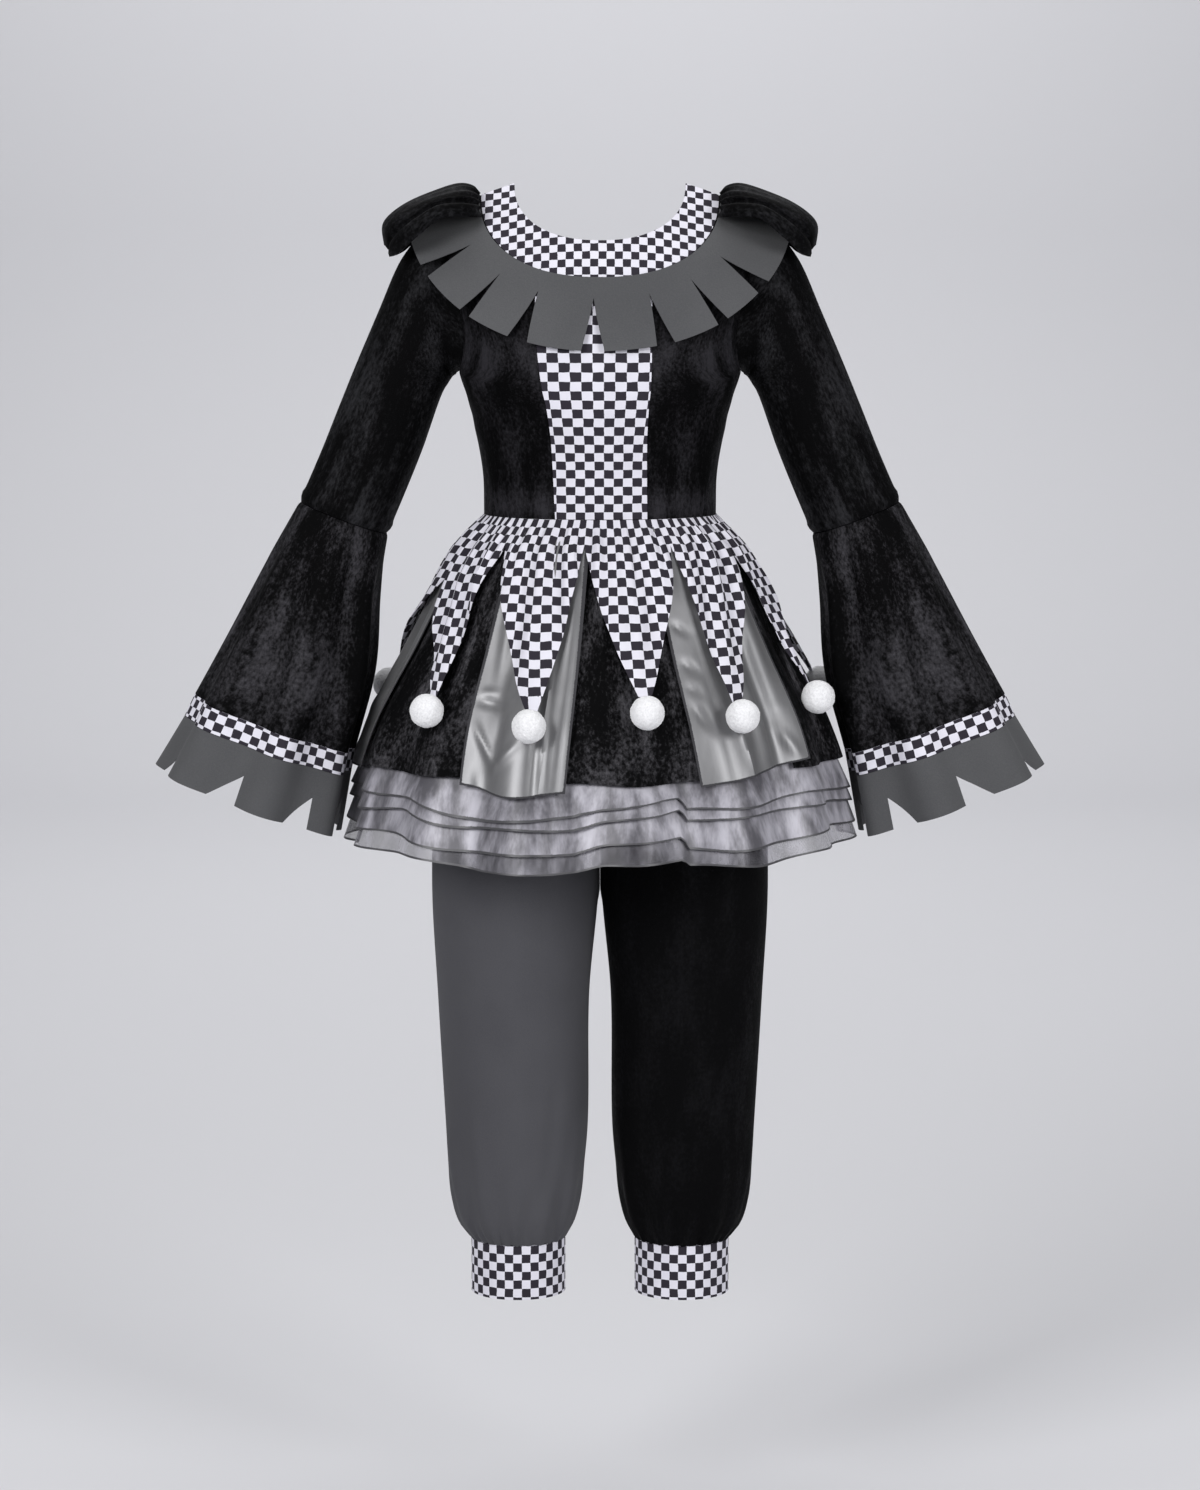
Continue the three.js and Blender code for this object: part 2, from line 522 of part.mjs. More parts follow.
const pointEnd = (k) => (k + 1 < PEPLUM.length ? PEPLUM[k + 1].slit : PEPLUM_END);
const peplumOut = (drop) => 1.9 + 4.4 * smooth(drop / 45) + 12 * smooth((drop - 60) / 140);
const gatherDepth = (drop) => 0.3 + 3.4 * smooth(drop / 45) - 2.4 * smooth((drop - 110) / 90);

// A point of the peplum. place counts the points round the body, with the share of the way across as its
// fraction.
function peplumSurface(place, drop) {
  const k = Math.min(Math.max(Math.floor(place), 0), PEPLUM.length - 1);
  const share = place - k;
  const point = PEPLUM[k];
  const gather = gatherDepth(drop) * Math.cos(2 * Math.PI * GATHERS_PER_POINT * (share - 0.5));
  const swing = point.lean * clamp01((drop - point.open) / (point.tip - point.open));
  return skirtPoint(point.slit + share * (pointEnd(k) - point.slit) + swing, drop, peplumOut(drop) + gather);
}

// The peplum's columns: at each, how far down the edge reaches between the slit and the point
function peplumColumns(first, last) {
  const columns = [];
  const shares = [0, 1 / 8, 2 / 8, 3 / 8, 0.5 - TIP_SHARE, 0.5 + TIP_SHARE, 5 / 8, 6 / 8, 7 / 8];
  for (let k = first; k < last; k += 1) {
    const nextOpen = PEPLUM[(k + 1) % PEPLUM.length].open;
    for (const share of shares) {
      const open = share < 0.5 ? PEPLUM[k].open : nextOpen;
      const toTip = Math.min(Math.min(share, 1 - share) / (0.5 - TIP_SHARE), 1);
      columns.push({ place: k + share, reach: open + (PEPLUM[k].tip - open) * toTip });
    }
    if (k === last - 1) columns.push({ place: last, reach: nextOpen });
  }
  return columns;
}

function addPeplum() {
  const rows = 3;
  const rowShare = [0, 0.16, 0.5, 1];
  for (const [name, first, last] of [['peplum_front', 0, POINTS_IN_FRONT],
    ['peplum_back', POINTS_IN_FRONT, PEPLUM.length]]) {
    const columns = peplumColumns(first, last);
    const edge = seamAngle(SKIRT[0].halfWidth) / (pointEnd(first) - PEPLUM[first].slit);
    columns[0].place += edge;
    columns[columns.length - 1].place -= edge;
    add(name, 'check', clothWall({ surface: peplumSurface, rows, columns: columns.length - 1,
      thickness: THICK.check, step: [0.01, 0.5],
      params: (i, j) => [columns[j].place, rowShare[i] * columns[j].reach] }));
  }
}

// A pompom: a ball with a three-sided lock of yarn on each of twenty faces
function pompomGeometry() {
  const solid = new THREE.IcosahedronGeometry(1, 0).getAttribute('position');
  const positions = [];
  const push = (...corners) => corners.forEach((p) => positions.push(p.x, p.y, p.z));
  for (let f = 0; f < solid.count; f += 3) {
    const [a, b, c] = [0, 1, 2].map((k) => new THREE.Vector3().fromBufferAttribute(solid, f + k)
      .setLength(POMPOM.core));
    const middle = (p, q) => p.clone().add(q).setLength(POMPOM.core);
    const [ab, bc, ca] = [middle(a, b), middle(b, c), middle(c, a)];
    const tip = a.clone().add(b).add(c).setLength(POMPOM.reach);
    push(a, ab, ca, ab, b, bc, ca, bc, c, ab, bc, tip, bc, ca, tip, ca, ab, tip);
  }
  const geometry = new THREE.BufferGeometry();
  geometry.setAttribute('position', new THREE.Float32BufferAttribute(positions, 3));
  return geometry;
}

// Each pompom hangs under its point, just clear of the petals behind it
function addPompoms() {
  const hollow = new THREE.Vector3().fromBufferAttribute(
    new THREE.IcosahedronGeometry(1, 0).getAttribute('position'), 0).normalize();
  for (let k = 0; k < PEPLUM.length; k += 1) {
    const tip = peplumSurface(k + 0.5, PEPLUM[k].tip);
    const angle = (PEPLUM[k].slit + pointEnd(k)) / 2 + PEPLUM[k].lean;
    const out = new THREE.Vector3(Math.sin(rad(angle)), -Math.cos(rad(angle)), 0);
    const pompom = add(`pompom_${k + 1}`, 'fluff', pompomGeometry());
    pompom.position.copy(tip).addScaledVector(out, POMPOM.out);
    pompom.position.z -= POMPOM.down;
    pompom.quaternion.setFromUnitVectors(hollow, tip.sub(pompom.position).normalize());
  }
}

function addPetals() {
  const columns = 6;
  const rowDrops = [0, 0.1, 0.28, 0.55, 0.8, 1];
  const rows = rowDrops.length - 1;
  const count = { satin: 0, velvet: 0 };
  PETALS.forEach((petal, k) => {
    const next = k + 1 < PETALS.length ? PETALS[k + 1].from : PETALS_END;
    const lap = PETAL_LAP[petal.cloth];
    const surface = (share, drop) => {
      const over = THREE.MathUtils.lerp(lap.top, lap.hem, drop / petal.drop);
      const angle = THREE.MathUtils.lerp(petal.from - over, next + over, share);
      const back = PETAL_SET_BACK_TOP[petal.cloth]
        + (PETAL_SET_BACK[petal.cloth] - PETAL_SET_BACK_TOP[petal.cloth]) * smooth(drop / 60);
      return skirtPoint(angle, drop,
        -back + 1.1 * smooth(drop / 120) * Math.cos(4 * Math.PI * (share - 0.5)));
    };
    count[petal.cloth] += 1;
    add(`petal_${petal.cloth}_${count[petal.cloth]}`, petal.cloth, clothWall({ surface, rows, columns,
      thickness: THICK.satin, step: [0.008, 0.5],
      params: (i, j) => {
        const share = j / columns;
        const hem = THREE.MathUtils.lerp(petal.drop, petal.far,
          share) + petal.sag * Math.sin(Math.PI * share) ** 2;
        return [share, rowDrops[i] * hem];
      } }));
  });
}

function addOrganza() {
  const columns = FLUTES * 4;
  for (const { name, rows } of ORGANZA) {
    const surface = (angle, drop) => skirtPoint(angle, drop, -read(rows, 'drop', drop, 'inside'));
    add(name, 'organza', clothWall({ surface, closed: true, rows: rows.length - 1, columns,
      thickness: THICK.organza, step: [0.3, 0.5],
      params: (i, j) => [FLUTE_CREST + (360 * j) / columns, rows[i].drop] }));
  }
}

// A leg: turn runs from the inseam, 0, over the front and the outside to the inseam again, 1
function legSurface(turn, z) {
  const row = {};
  for (const column of Object.keys(LEG[0])) row[column] = read(LEG, 'z', z, column);
  const start = Math.acos(THREE.MathUtils.clamp((-SEAM - row.middle) / row.halfWidth, -1, 1));
  const opening = z > CROTCH_Z ? start : INSEAM_GAP;
  const angle = opening + turn * (2 * Math.PI - 2 * opening);
  const gather = ANKLE_GATHER_DEPTH * smooth((-z - 1170) / 60) * (1 - 0.75 * smooth((-z - 1250) / 20))
    * Math.cos(ANKLE_GATHERS * angle);
  const depth = Math.sin(angle) > 0 ? row.front : row.back;
  return new THREE.Vector3(row.middle + (row.halfWidth + gather) * Math.cos(angle),
    -(depth + gather) * Math.sin(angle), z);
}

function addTrousers() {
  const columns = 24;
  for (const [side, cloth, mirror] of [['right', 'crepe', false], ['left', 'black', true]]) {
    add(`leg_${side}`, cloth, clothWall({ surface: legSurface, rows: LEG.length - 1, columns, side: -1,
      thickness: THICK.crepe, mirror, step: [0.004, -0.8],
      params: (i, j) => [j / columns, LEG[i].z] }));
    const cuff = (a) => new THREE.Vector3(ANKLE_CUFF.middle + ANKLE_CUFF.halfWidth * Math.cos(a * 2 * Math.PI),
      -ANKLE_CUFF.depth * Math.sin(a * 2 * Math.PI), 0);
    add(`ankle_cuff_${side}`, 'check', clothWall({ surface: (a, z) => cuff(a).setZ(z), rows: 1, columns,
      side: -1,
      closed: true, thickness: THICK.check, mirror, step: [0.004, -1],
      params: (i, j) => [j / columns, i ? ANKLE_CUFF.bottom : ANKLE_CUFF.top] }));
  }
  const top = LEG[0];
  const band = (angle, z) => new THREE.Vector3(top.halfWidth * Math.sin(rad(angle)),
    -(Math.cos(rad(angle)) > 0 ? top.front : top.back) * Math.cos(rad(angle)), z);
  add('trouser_waistband', 'crepe', clothWall({ surface: band, rows: 1, columns: 28, closed: true,
    thickness: THICK.elastic, step: [0.4, -0.5],
    params: (i, j) => [(360 * j) / 28, top.z + SEAM + (i ? 0 : WAISTBAND_HEIGHT)] }));
}

addYoke();
addBodice();
addSleeves();
addCollar();
addPuffs();
addPeplum();
addPompoms();
addPetals();
addOrganza();
addTrousers();

export default costume;
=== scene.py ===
# %% [markdown]
# A jester costume: a dress and trousers, as full as when they are worn. The solid model fixes every size, and this
# lesson dresses it: each piece of cloth is a grid that is laid on its solid's form, given its folds and creases, and
# made a thin shell. It starts by loading the frame and keeping the solid model's box, which it prints.

# %% Load the frame
import bpy
import math
import numpy as np
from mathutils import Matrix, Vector


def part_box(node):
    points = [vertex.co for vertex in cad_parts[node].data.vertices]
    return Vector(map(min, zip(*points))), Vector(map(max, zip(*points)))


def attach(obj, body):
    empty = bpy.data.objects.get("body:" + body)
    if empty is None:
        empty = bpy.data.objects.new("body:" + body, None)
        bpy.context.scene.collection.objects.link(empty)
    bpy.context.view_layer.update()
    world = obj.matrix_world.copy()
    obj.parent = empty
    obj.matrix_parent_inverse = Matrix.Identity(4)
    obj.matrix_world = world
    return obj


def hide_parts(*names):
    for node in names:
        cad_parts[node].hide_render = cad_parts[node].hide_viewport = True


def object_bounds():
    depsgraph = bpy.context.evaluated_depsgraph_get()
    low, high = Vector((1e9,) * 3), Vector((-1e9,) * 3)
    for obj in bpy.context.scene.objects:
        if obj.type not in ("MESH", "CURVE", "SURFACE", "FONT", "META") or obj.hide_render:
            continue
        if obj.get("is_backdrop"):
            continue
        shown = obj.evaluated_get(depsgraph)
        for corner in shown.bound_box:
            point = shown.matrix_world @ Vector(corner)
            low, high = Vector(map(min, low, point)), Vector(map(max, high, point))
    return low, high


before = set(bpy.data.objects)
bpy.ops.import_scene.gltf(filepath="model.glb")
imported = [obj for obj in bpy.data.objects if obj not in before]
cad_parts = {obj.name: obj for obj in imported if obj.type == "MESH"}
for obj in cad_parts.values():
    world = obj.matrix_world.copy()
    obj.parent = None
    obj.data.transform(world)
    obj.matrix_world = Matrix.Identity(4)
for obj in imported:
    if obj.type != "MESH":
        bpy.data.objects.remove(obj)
cad_low, cad_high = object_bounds()
MM = 0.001
print("solid model from", [round(c, 3) for c in cad_low], "to", [round(c, 3) for c in cad_high])

# %% [markdown]
# Shader maths reads best as plain expressions. One small class wraps a socket so that + - * add Math nodes, and a
# finish makes any other node through one method that takes the node's type, its settings and its sockets.

# %% Sockets that do arithmetic
class Value:
    def __init__(self, finish, socket):
        self.finish, self.socket = finish, socket

    def math(self, operation, *others):
        return self.finish.node("ShaderNodeMath", {"operation": operation}, {0: self, **dict(enumerate(others, 1))})

    def __add__(self, other):
        return self.math("ADD", other)

    def __sub__(self, other):
        return self.math("SUBTRACT", other)

    def __rsub__(self, other):
        return self.finish.node("ShaderNodeMath", {"operation": "SUBTRACT"}, {0: other, 1: self})

    def __mul__(self, other):
        return self.math("MULTIPLY", other)

    __radd__ = __add__


class Finish:
    def __init__(self, name, settings):
        self.material = bpy.data.materials.new(name)
        self.material.use_nodes = True
        self.tree = self.material.node_tree
        self.shader = self.tree.nodes["Principled BSDF"]
        for socket, value in settings.items():
            self.shader.inputs[socket].default_value = value

    def node(self, kind, settings=None, inputs=None, output=0):
        made = self.tree.nodes.new(kind)
        for name, value in (settings or {}).items():
            setattr(made, name, value)
        for name, value in (inputs or {}).items():
            if isinstance(value, Value):
                self.tree.links.new(value.socket, made.inputs[name])
            else:
                made.inputs[name].default_value = value
        return Value(self, made.outputs[output])

    def feed(self, socket, value):
        self.tree.links.new(value.socket, self.shader.inputs[socket])

    def place(self):
        return self.node("ShaderNodeTexCoord", output="Object")

    def cut(self):
        return self.node("ShaderNodeUVMap", {"uv_map": "UVMap"})

    def stretched(self, scale, vector=None):
        return self.node("ShaderNodeMapping", None, {"Vector": vector or self.place(), "Scale": scale})

    def noise(self, scale, detail=2.0, rough=0.5, vector=None):
        inputs = {"Vector": vector or self.place(), "Scale": scale, "Detail": detail, "Roughness": rough}
        return self.node("ShaderNodeTexNoise", None, inputs)

    def step(self, value, low, high):
        return self.node("ShaderNodeMapRange", {"clamp": True, "interpolation_type": "SMOOTHSTEP"},
                         {"Value": value, "From Min": low, "From Max": high})

    def mix(self, share, first, second):
        return self.node("ShaderNodeMix", {"data_type": "RGBA"}, {0: share, 6: first, 7: second}, output=2)

    def bump(self, height, strength, distance):
        self.feed("Normal", self.node("ShaderNodeBump", None, {"Height": height, "Strength": strength,
                                                               "Distance": distance}))


print("shader helpers ready")

# %% [markdown]
# Each cloth of the costume has its own finish. The knit is printed with off-white and near-black squares that follow
# the cut of each panel, so the pattern is counted in squares on the piece's own UV map. A slow noise bends its lines
# a little, as stretched knit does, and a fine one gives the weave.

# %% The chequered knit
SQUARE_DARK = (0.026, 0.023, 0.031, 1)
SQUARE_PALE = (0.71, 0.70, 0.77, 1)


def chequered_knit():
    cloth = Finish("chequered_knit", {"Sheen Weight": 0.03, "Specular IOR Level": 0.1})
    squares = cloth.cut()
    across = cloth.node("ShaderNodeSeparateXYZ", None, {0: squares}, "X")
    down = cloth.node("ShaderNodeSeparateXYZ", None, {0: squares}, "Y")
    bend = (cloth.noise(90) - 0.5) * 0.16
    parity = ((across + bend).math("FLOOR") + (down + bend).math("FLOOR")).math("FLOORED_MODULO", 2.0)
    grain = cloth.noise(700, 3)
    pale = cloth.mix(cloth.noise(30, 3), SQUARE_PALE, (0.60, 0.59, 0.66, 1))
    cloth.feed("Base Color", cloth.mix(parity, pale, SQUARE_DARK))
    cloth.feed("Roughness", 0.72 + grain * 0.2)
    cloth.bump(grain, 0.25, 0.0006)
    return cloth.material


knit = chequered_knit()
print("knit:", len(knit.node_tree.nodes), "nodes")

# %% [markdown]
# Crushed velvet is black, but its pile lies in patches that catch the light differently: some are deep black, others
# a soft grey. Two sizes of noise, drawn out along the cut, mottle the colour and the roughness. On the bodice, two
# soft bands of painted sheen lighten the colour across the chest and above the waist, each with its height and half
# width in metres. The bells and petals have brighter patches, painted sheen for the light on their folds, and the
# black leg is nearly smooth.

# %% The crushed velvet
def crushed_velvet(name, deep, bright, sheen_bands=()):
    cloth = Finish(name, {"Sheen Weight": 0.02, "Sheen Roughness": 0.3, "Sheen Tint": (0.7, 0.7, 0.74, 1),
                          "Specular IOR Level": 0.05})
    pile = cloth.noise(260, 6, 0.7, cloth.stretched((1, 0.6, 1), cloth.cut()))
    patch = cloth.noise(26, 4, 0.6, cloth.stretched((1, 0.3, 1), cloth.cut()))
    level = cloth.node("ShaderNodeSeparateXYZ", None, {0: cloth.place()}, "Z")
    mottle = pile * 0.5 + patch * 0.65
    # Painted sheen: each band lightens the velvet's colour around its height, as where light catches the pile.
    for middle, half in sheen_bands:
        mottle = mottle + (1 - cloth.step((level - middle).math("ABSOLUTE"), 0, half)) * 0.1
    crushed = cloth.step(mottle, 0.52, 0.81)
    cloth.feed("Base Color", cloth.mix(crushed, deep, bright))
    cloth.feed("Roughness", 0.78 - crushed * 0.3)
    cloth.bump(pile * 0.7 + cloth.noise(900, 2) * 0.3, 0.5, 0.0014)
    return cloth.material


# Two bands of painted sheen on the bodice: the height and half width of each, in metres.
BODICE_SHEEN_BANDS = ((-0.2, 0.045), (-0.375, 0.03))
velvet = crushed_velvet("crushed_velvet", (0.0008, 0.0008, 0.001, 1), (0.024, 0.024, 0.027, 1))
bodice_velvet = crushed_velvet("bodice_velvet", (0.0006, 0.0006, 0.0008, 1), (0.024, 0.023, 0.027, 1), BODICE_SHEEN_BANDS)
# The bells and petals are copies of the velvet with brighter patches: painted sheen for the light on their folds.
flounce_velvet_painted_sheen = crushed_velvet("flounce_velvet_painted_sheen", (0.001, 0.001, 0.0012, 1), (0.055, 0.053, 0.06, 1))
petal_velvet = crushed_velvet("petal_velvet", (0.0015, 0.0015, 0.0018, 1), (0.095, 0.092, 0.102, 1))
leg_velvet = crushed_velvet("smooth_velvet", (0.0015, 0.0015, 0.0018, 1), (0.005, 0.005, 0.006, 1))
print("velvets:", velvet.name, bodice_velvet.name, flounce_velvet_painted_sheen.name, petal_velvet.name, leg_velvet.name)

# %% [markdown]
# The collar and the sleeve frills are cut from a matt grey cloth with raw edges, and the right leg from a soft grey
# crepe. Both are almost even, with a fine grain and a slight unevenness of colour.

# %% The matt greys
def matt_grey(name, colour, paler, grain_scale):
    cloth = Finish(name, {"Sheen Weight": 0.05, "Sheen Roughness": 0.6, "Specular IOR Level": 0.1})
    grain = cloth.noise(grain_scale, 3, 0.6)
    tone = cloth.noise(7, 3)
    cloth.feed("Base Color", cloth.mix(cloth.step(grain * 0.5 + tone * 0.6, 0.3, 0.8), colour, paler))
    cloth.feed("Roughness", 0.78 + grain * 0.15)
    cloth.bump(grain, 0.35, 0.0006)
    return cloth.material


felt = matt_grey("grey_felt", (0.064, 0.065, 0.069, 1), (0.088, 0.089, 0.093, 1), 600)
crepe = matt_grey("grey_crepe", (0.053, 0.053, 0.060, 1), (0.072, 0.072, 0.080, 1), 900)
print("matt greys:", felt.name, crepe.name)

# %% [markdown]
# Satin is glossy because its threads float over the surface, so its highlights are broad and silky. Its raw edges are
# overlocked with dark thread. The edge attribute says how far, in metres, a point lies from the nearest such edge.

# %% The satin, and the dark overlocked edge
THREAD = (0.055, 0.054, 0.06, 1)
OVERLOCK = 0.0028


def overlocked(cloth, colour):
    edge = cloth.node("ShaderNodeAttribute", {"attribute_name": "edge"}, output="Fac")
    wobble = (cloth.noise(500, 1) - 0.5) * 0.0012
    thread = 1 - cloth.step(edge + wobble, OVERLOCK * 0.75, OVERLOCK)
    cloth.feed("Base Color", cloth.mix(thread, colour, THREAD))
    return thread


def silky_satin():
    cloth = Finish("grey_satin", {"Metallic": 0.6, "Sheen Weight": 0.05, "Specular IOR Level": 0.6})
    slub = cloth.noise(60, 4, 0.6, cloth.stretched((1, 1, 0.15)))
    thread = overlocked(cloth, cloth.mix(slub, (0.16, 0.16, 0.165, 1), (0.23, 0.23, 0.238, 1)))
    cloth.feed("Roughness", 0.38 + slub * 0.12 + thread * 0.4)
    cloth.bump(slub + thread * 0.8, 0.18, 0.0012)
    return cloth.material


satin = silky_satin()
print("satin:", len(satin.node_tree.nodes), "nodes")

# %% [markdown]
# Organza is sheer and a little crisp. The three upper layers lie over each other and read as one pale grey, while the
# lowest layer hangs free and shows what is behind it, so only that one lets light through. Its colour is painted in
# vertical streaks: painted highlights where it is pale and painted shade of its folds where it is dark.

# %% The organza
# The organza's colour runs from painted shade in its dark streaks to painted highlight in its pale ones.
ORGANZA_PAINTED_SHADE = (0.08, 0.077, 0.09, 1)
ORGANZA_PAINTED_HIGHLIGHT = (0.42, 0.41, 0.46, 1)


def crisp_organza(name, sheer):
    cloth = Finish(name, {"Metallic": 0.1, "Sheen Weight": 0.1, "Specular IOR Level": 0.5})
    fine = cloth.noise(45, 4, 0.6, cloth.stretched((1, 1, 0.12)))
    broad = cloth.noise(16, 2, 0.5, cloth.stretched((1, 1, 0.15)))
    streak = fine * 0.6 + broad * 0.4
    # Painted highlights and painted shade: the streak noise sets the colour between the two.
    thread = overlocked(cloth, cloth.mix(cloth.step(streak, 0.38, 0.64), ORGANZA_PAINTED_SHADE, ORGANZA_PAINTED_HIGHLIGHT))
    cloth.feed("Roughness", 0.38 + streak * 0.15)
    cloth.bump(streak, 0.2, 0.0015)
    if sheer:
        cloth.feed("Alpha", cloth.step(streak, 0.2, 0.8) * 0.25 + 0.3 + thread * 0.6)
    return cloth.material


organza = crisp_organza("organza", False)
sheer_organza = crisp_organza("sheer_organza", True)
print("organza:", organza.name, sheer_organza.name)

# %% [markdown]
# The pompoms are balls of cut white yarn. Their surface is a soft fuzz, so the finish is matt, nearly white and
# rough.

# %% The pompom yarn
def yarn_fuzz():
    cloth = Finish("white_yarn", {"Sheen Weight": 0.6, "Sheen Roughness": 0.7, "Specular IOR Level": 0.1})
    fuzz = cloth.noise(420, 5, 0.75)
    cloth.feed("Base Color", cloth.mix(cloth.step(fuzz, 0.3, 0.6), (0.66, 0.66, 0.68, 1), (0.84, 0.84, 0.86, 1)))
    cloth.feed("Roughness", 0.85 + fuzz * 0.15)
    cloth.bump(fuzz, 0.8, 0.0016)
    return cloth.material


yarn = yarn_fuzz()
print("yarn:", yarn.name)

# %% [markdown]
# The costume's forms come from short tables: rings round the body, the arm and the leg, each with its sizes in named
# columns. A smooth curve runs through the rows, the same as in the solid model, so cloth and solid agree everywhere.

# %% Tables of sizes, and a smooth curve through their rows
def table(columns, *rows):
    return {name: np.array([row[k] for row in rows], float) for k, name in enumerate(columns.split())}


def read(sizes, at, value, column):
    x, y = sizes[at], sizes[column]
    value = np.asarray(value, float)
    if x[-1] < x[0]:
        x, value = -x, -value
    last = len(x) - 1
    i = np.clip(np.searchsorted(x, value, side="left") - 1, 0, last - 1)
    before, after = np.maximum(i - 1, 0), np.minimum(i + 2, last)
    slope0 = (y[i + 1] - y[before]) / (x[i + 1] - x[before])
    slope1 = (y[after] - y[i]) / (x[after] - x[i])
    width = x[i + 1] - x[i]
    t = (value - x[i]) / width
    rise = 2 * t ** 3 - 3 * t ** 2
    curve = (t ** 3 - 2 * t ** 2 + t) * slope0 + (t ** 3 - t ** 2) * slope1
    return (rise + 1) * y[i] - rise * y[i + 1] + width * curve


def read_each(sizes, at, value, columns):
    return [read(sizes, at, value, column) for column in columns.split()]


def smooth(t):
    t = np.clip(t, 0, 1)
    return t * t * (3 - 2 * t)


def bell_curve(x, middle, width):
    return np.exp(-((x - middle) / width) ** 2)


print("table reader ready")

# %% [markdown]
# A piece of cloth starts as Blender's own grid. Its vertices are laid on the piece's form, moved along the surface's
# normal by its folds, and its UV map is given in squares or in metres of cloth. A tube's two edges are merged, and
# Solidify gives the cloth its thickness inwards.

# %% Lay a grid on a form
total_faces = 0


def lay(piece_name, across, down, form, wall=0.9, folds=None, squares=None, edge=None, tube=False, mirror=False,
        stations=None):
    global total_faces
    bpy.ops.object.select_all(action="DESELECT")
    bpy.ops.mesh.primitive_grid_add(x_subdivisions=across, y_subdivisions=down, size=1)
    piece = bpy.context.object
    piece.name = piece.data.name = piece_name
    mesh = piece.data
    flat = np.empty(len(mesh.vertices) * 3)
    mesh.vertices.foreach_get("co", flat)
    u, v = flat[0::3] + 0.5, 0.5 - flat[1::3]
    if stations is not None:
        u = np.interp(u * across, np.arange(across + 1), stations)
    step = 1e-4
    point = form(u, v)
    along_u = form(u + step, v) - form(u - step, v)
    along_v = form(u, v + step) - form(u, v - step)
    normal = np.cross(along_v, along_u)
    normal /= np.maximum(np.linalg.norm(normal, axis=1, keepdims=True), 1e-12)
    if folds is not None:
        point = point + normal * folds(u, v)[:, None]
    if mirror:
        point = point * (-1, 1, 1)
    mesh.vertices.foreach_set("co", (point * MM).ravel())
    corner = np.empty(len(mesh.loops), int)
    mesh.loops.foreach_get("vertex_index", corner)
    grid = (point * MM)[np.lexsort((flat[0::3], -flat[1::3]))].reshape(down + 1, across + 1, 3)
    width, length = (np.linalg.norm(np.diff(grid, axis=k), axis=2).sum(axis=k).mean() for k in (1, 0))
    pattern = np.stack(squares(u, v) if squares else (u * width, v * length), axis=1)
    mesh.uv_layers[0].data.foreach_set("uv", pattern[corner].ravel())
    if edge is not None:
        mesh.attributes.new("edge", "FLOAT", "POINT").data.foreach_set("value", edge(u, v) * MM)
    finish_shell(piece, wall, tube, mirror)
    total_faces += len(mesh.polygons)
    return piece, grid


def finish_shell(piece, wall, tube, mirror):
    bpy.ops.object.mode_set(mode="EDIT")
    bpy.ops.mesh.select_all(action="SELECT")
    if tube:
        bpy.ops.mesh.remove_doubles(threshold=0.00002)
    if mirror:
        bpy.ops.mesh.flip_normals()
    bpy.ops.object.mode_set(mode="OBJECT")
    shell = piece.modifiers.new("thickness", "SOLIDIFY")
    shell.thickness, shell.offset, shell.use_rim = wall * MM, -1, True
    bpy.ops.object.modifier_apply(modifier=shell.name)
    bpy.ops.object.shade_smooth_by_angle(angle=math.radians(45))


print("grid builder ready")

# %% [markdown]
# Every finished piece is tied to the frame: it stands for its solid, rides on the body, takes its finish's slot and,
# as cloth, says the size that it was cut to. The cut is measured along the rows and columns of the laid grid.

# %% Tie a piece to the frame
def tie(piece, grid, material, gathered=1.0, cut=None):
    piece.data.materials.clear()
    piece.data.materials.append(material)
    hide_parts(piece.name.removesuffix("_cloth"))
    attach(piece, "root")
    rows = np.linalg.norm(np.diff(grid, axis=1), axis=2).sum(axis=1)
    columns = np.linalg.norm(np.diff(grid, axis=0), axis=2).sum(axis=0)
    side_a, side_b = grid[1:, :-1] - grid[:-1, :-1], grid[:-1, 1:] - grid[:-1, :-1]
    area = np.linalg.norm(np.cross(side_a, side_b), axis=2).sum()
    width, length = cut if cut else (rows.max() * gathered, columns.max())
    area = min(max(area * gathered, 0.31 * width * length), width * length)
    faces = len(piece.data.polygons)
    print(f"{piece.name}: cut {width:.3f} x {length:.3f} m, {area:.3f} square metres, {faces} faces")


def length_of(points):
    return np.linalg.norm(np.diff(points, axis=0), axis=1).sum() * MM


print("ties ready")

# %% [markdown]
# Folds are placed one by one. A crease is a soft ridge or trough along a line on the cloth, from one point to another
# in millimetres, with its own half width and height; a negative height is a trough. They are uneven, as in worn
# cloth.

# %% Creases along lines
CREASE = "from_across from_down to_across to_down half_width height"


def creases(across, down, *lines):
    sizes = table(CREASE, *lines)
    height = np.zeros_like(across)
    for k in range(len(lines)):
        start = np.array([sizes["from_across"][k], sizes["from_down"][k]])
        line = np.array([sizes["to_across"][k], sizes["to_down"][k]]) - start
        t = ((across - start[0]) * line[0] + (down - start[1]) * line[1]) / (line @ line)
        t = np.clip(t, 0, 1)
        away = np.hypot(across - start[0] - t * line[0], down - start[1] - t * line[1])
        swell = 0.3 + 0.7 * np.sin(math.pi * t)
        height += sizes["height"][k] * bell_curve(away, 0, sizes["half_width"][k]) * swell
    return height


print("creases ready")

# %% [markdown]
# The body of the dress hangs over a general figure: rings from the neck edge, over the yoke, the shoulders and the
# armholes, down to the waist seam. Each ring has its own height at the side, at the front and at the back.

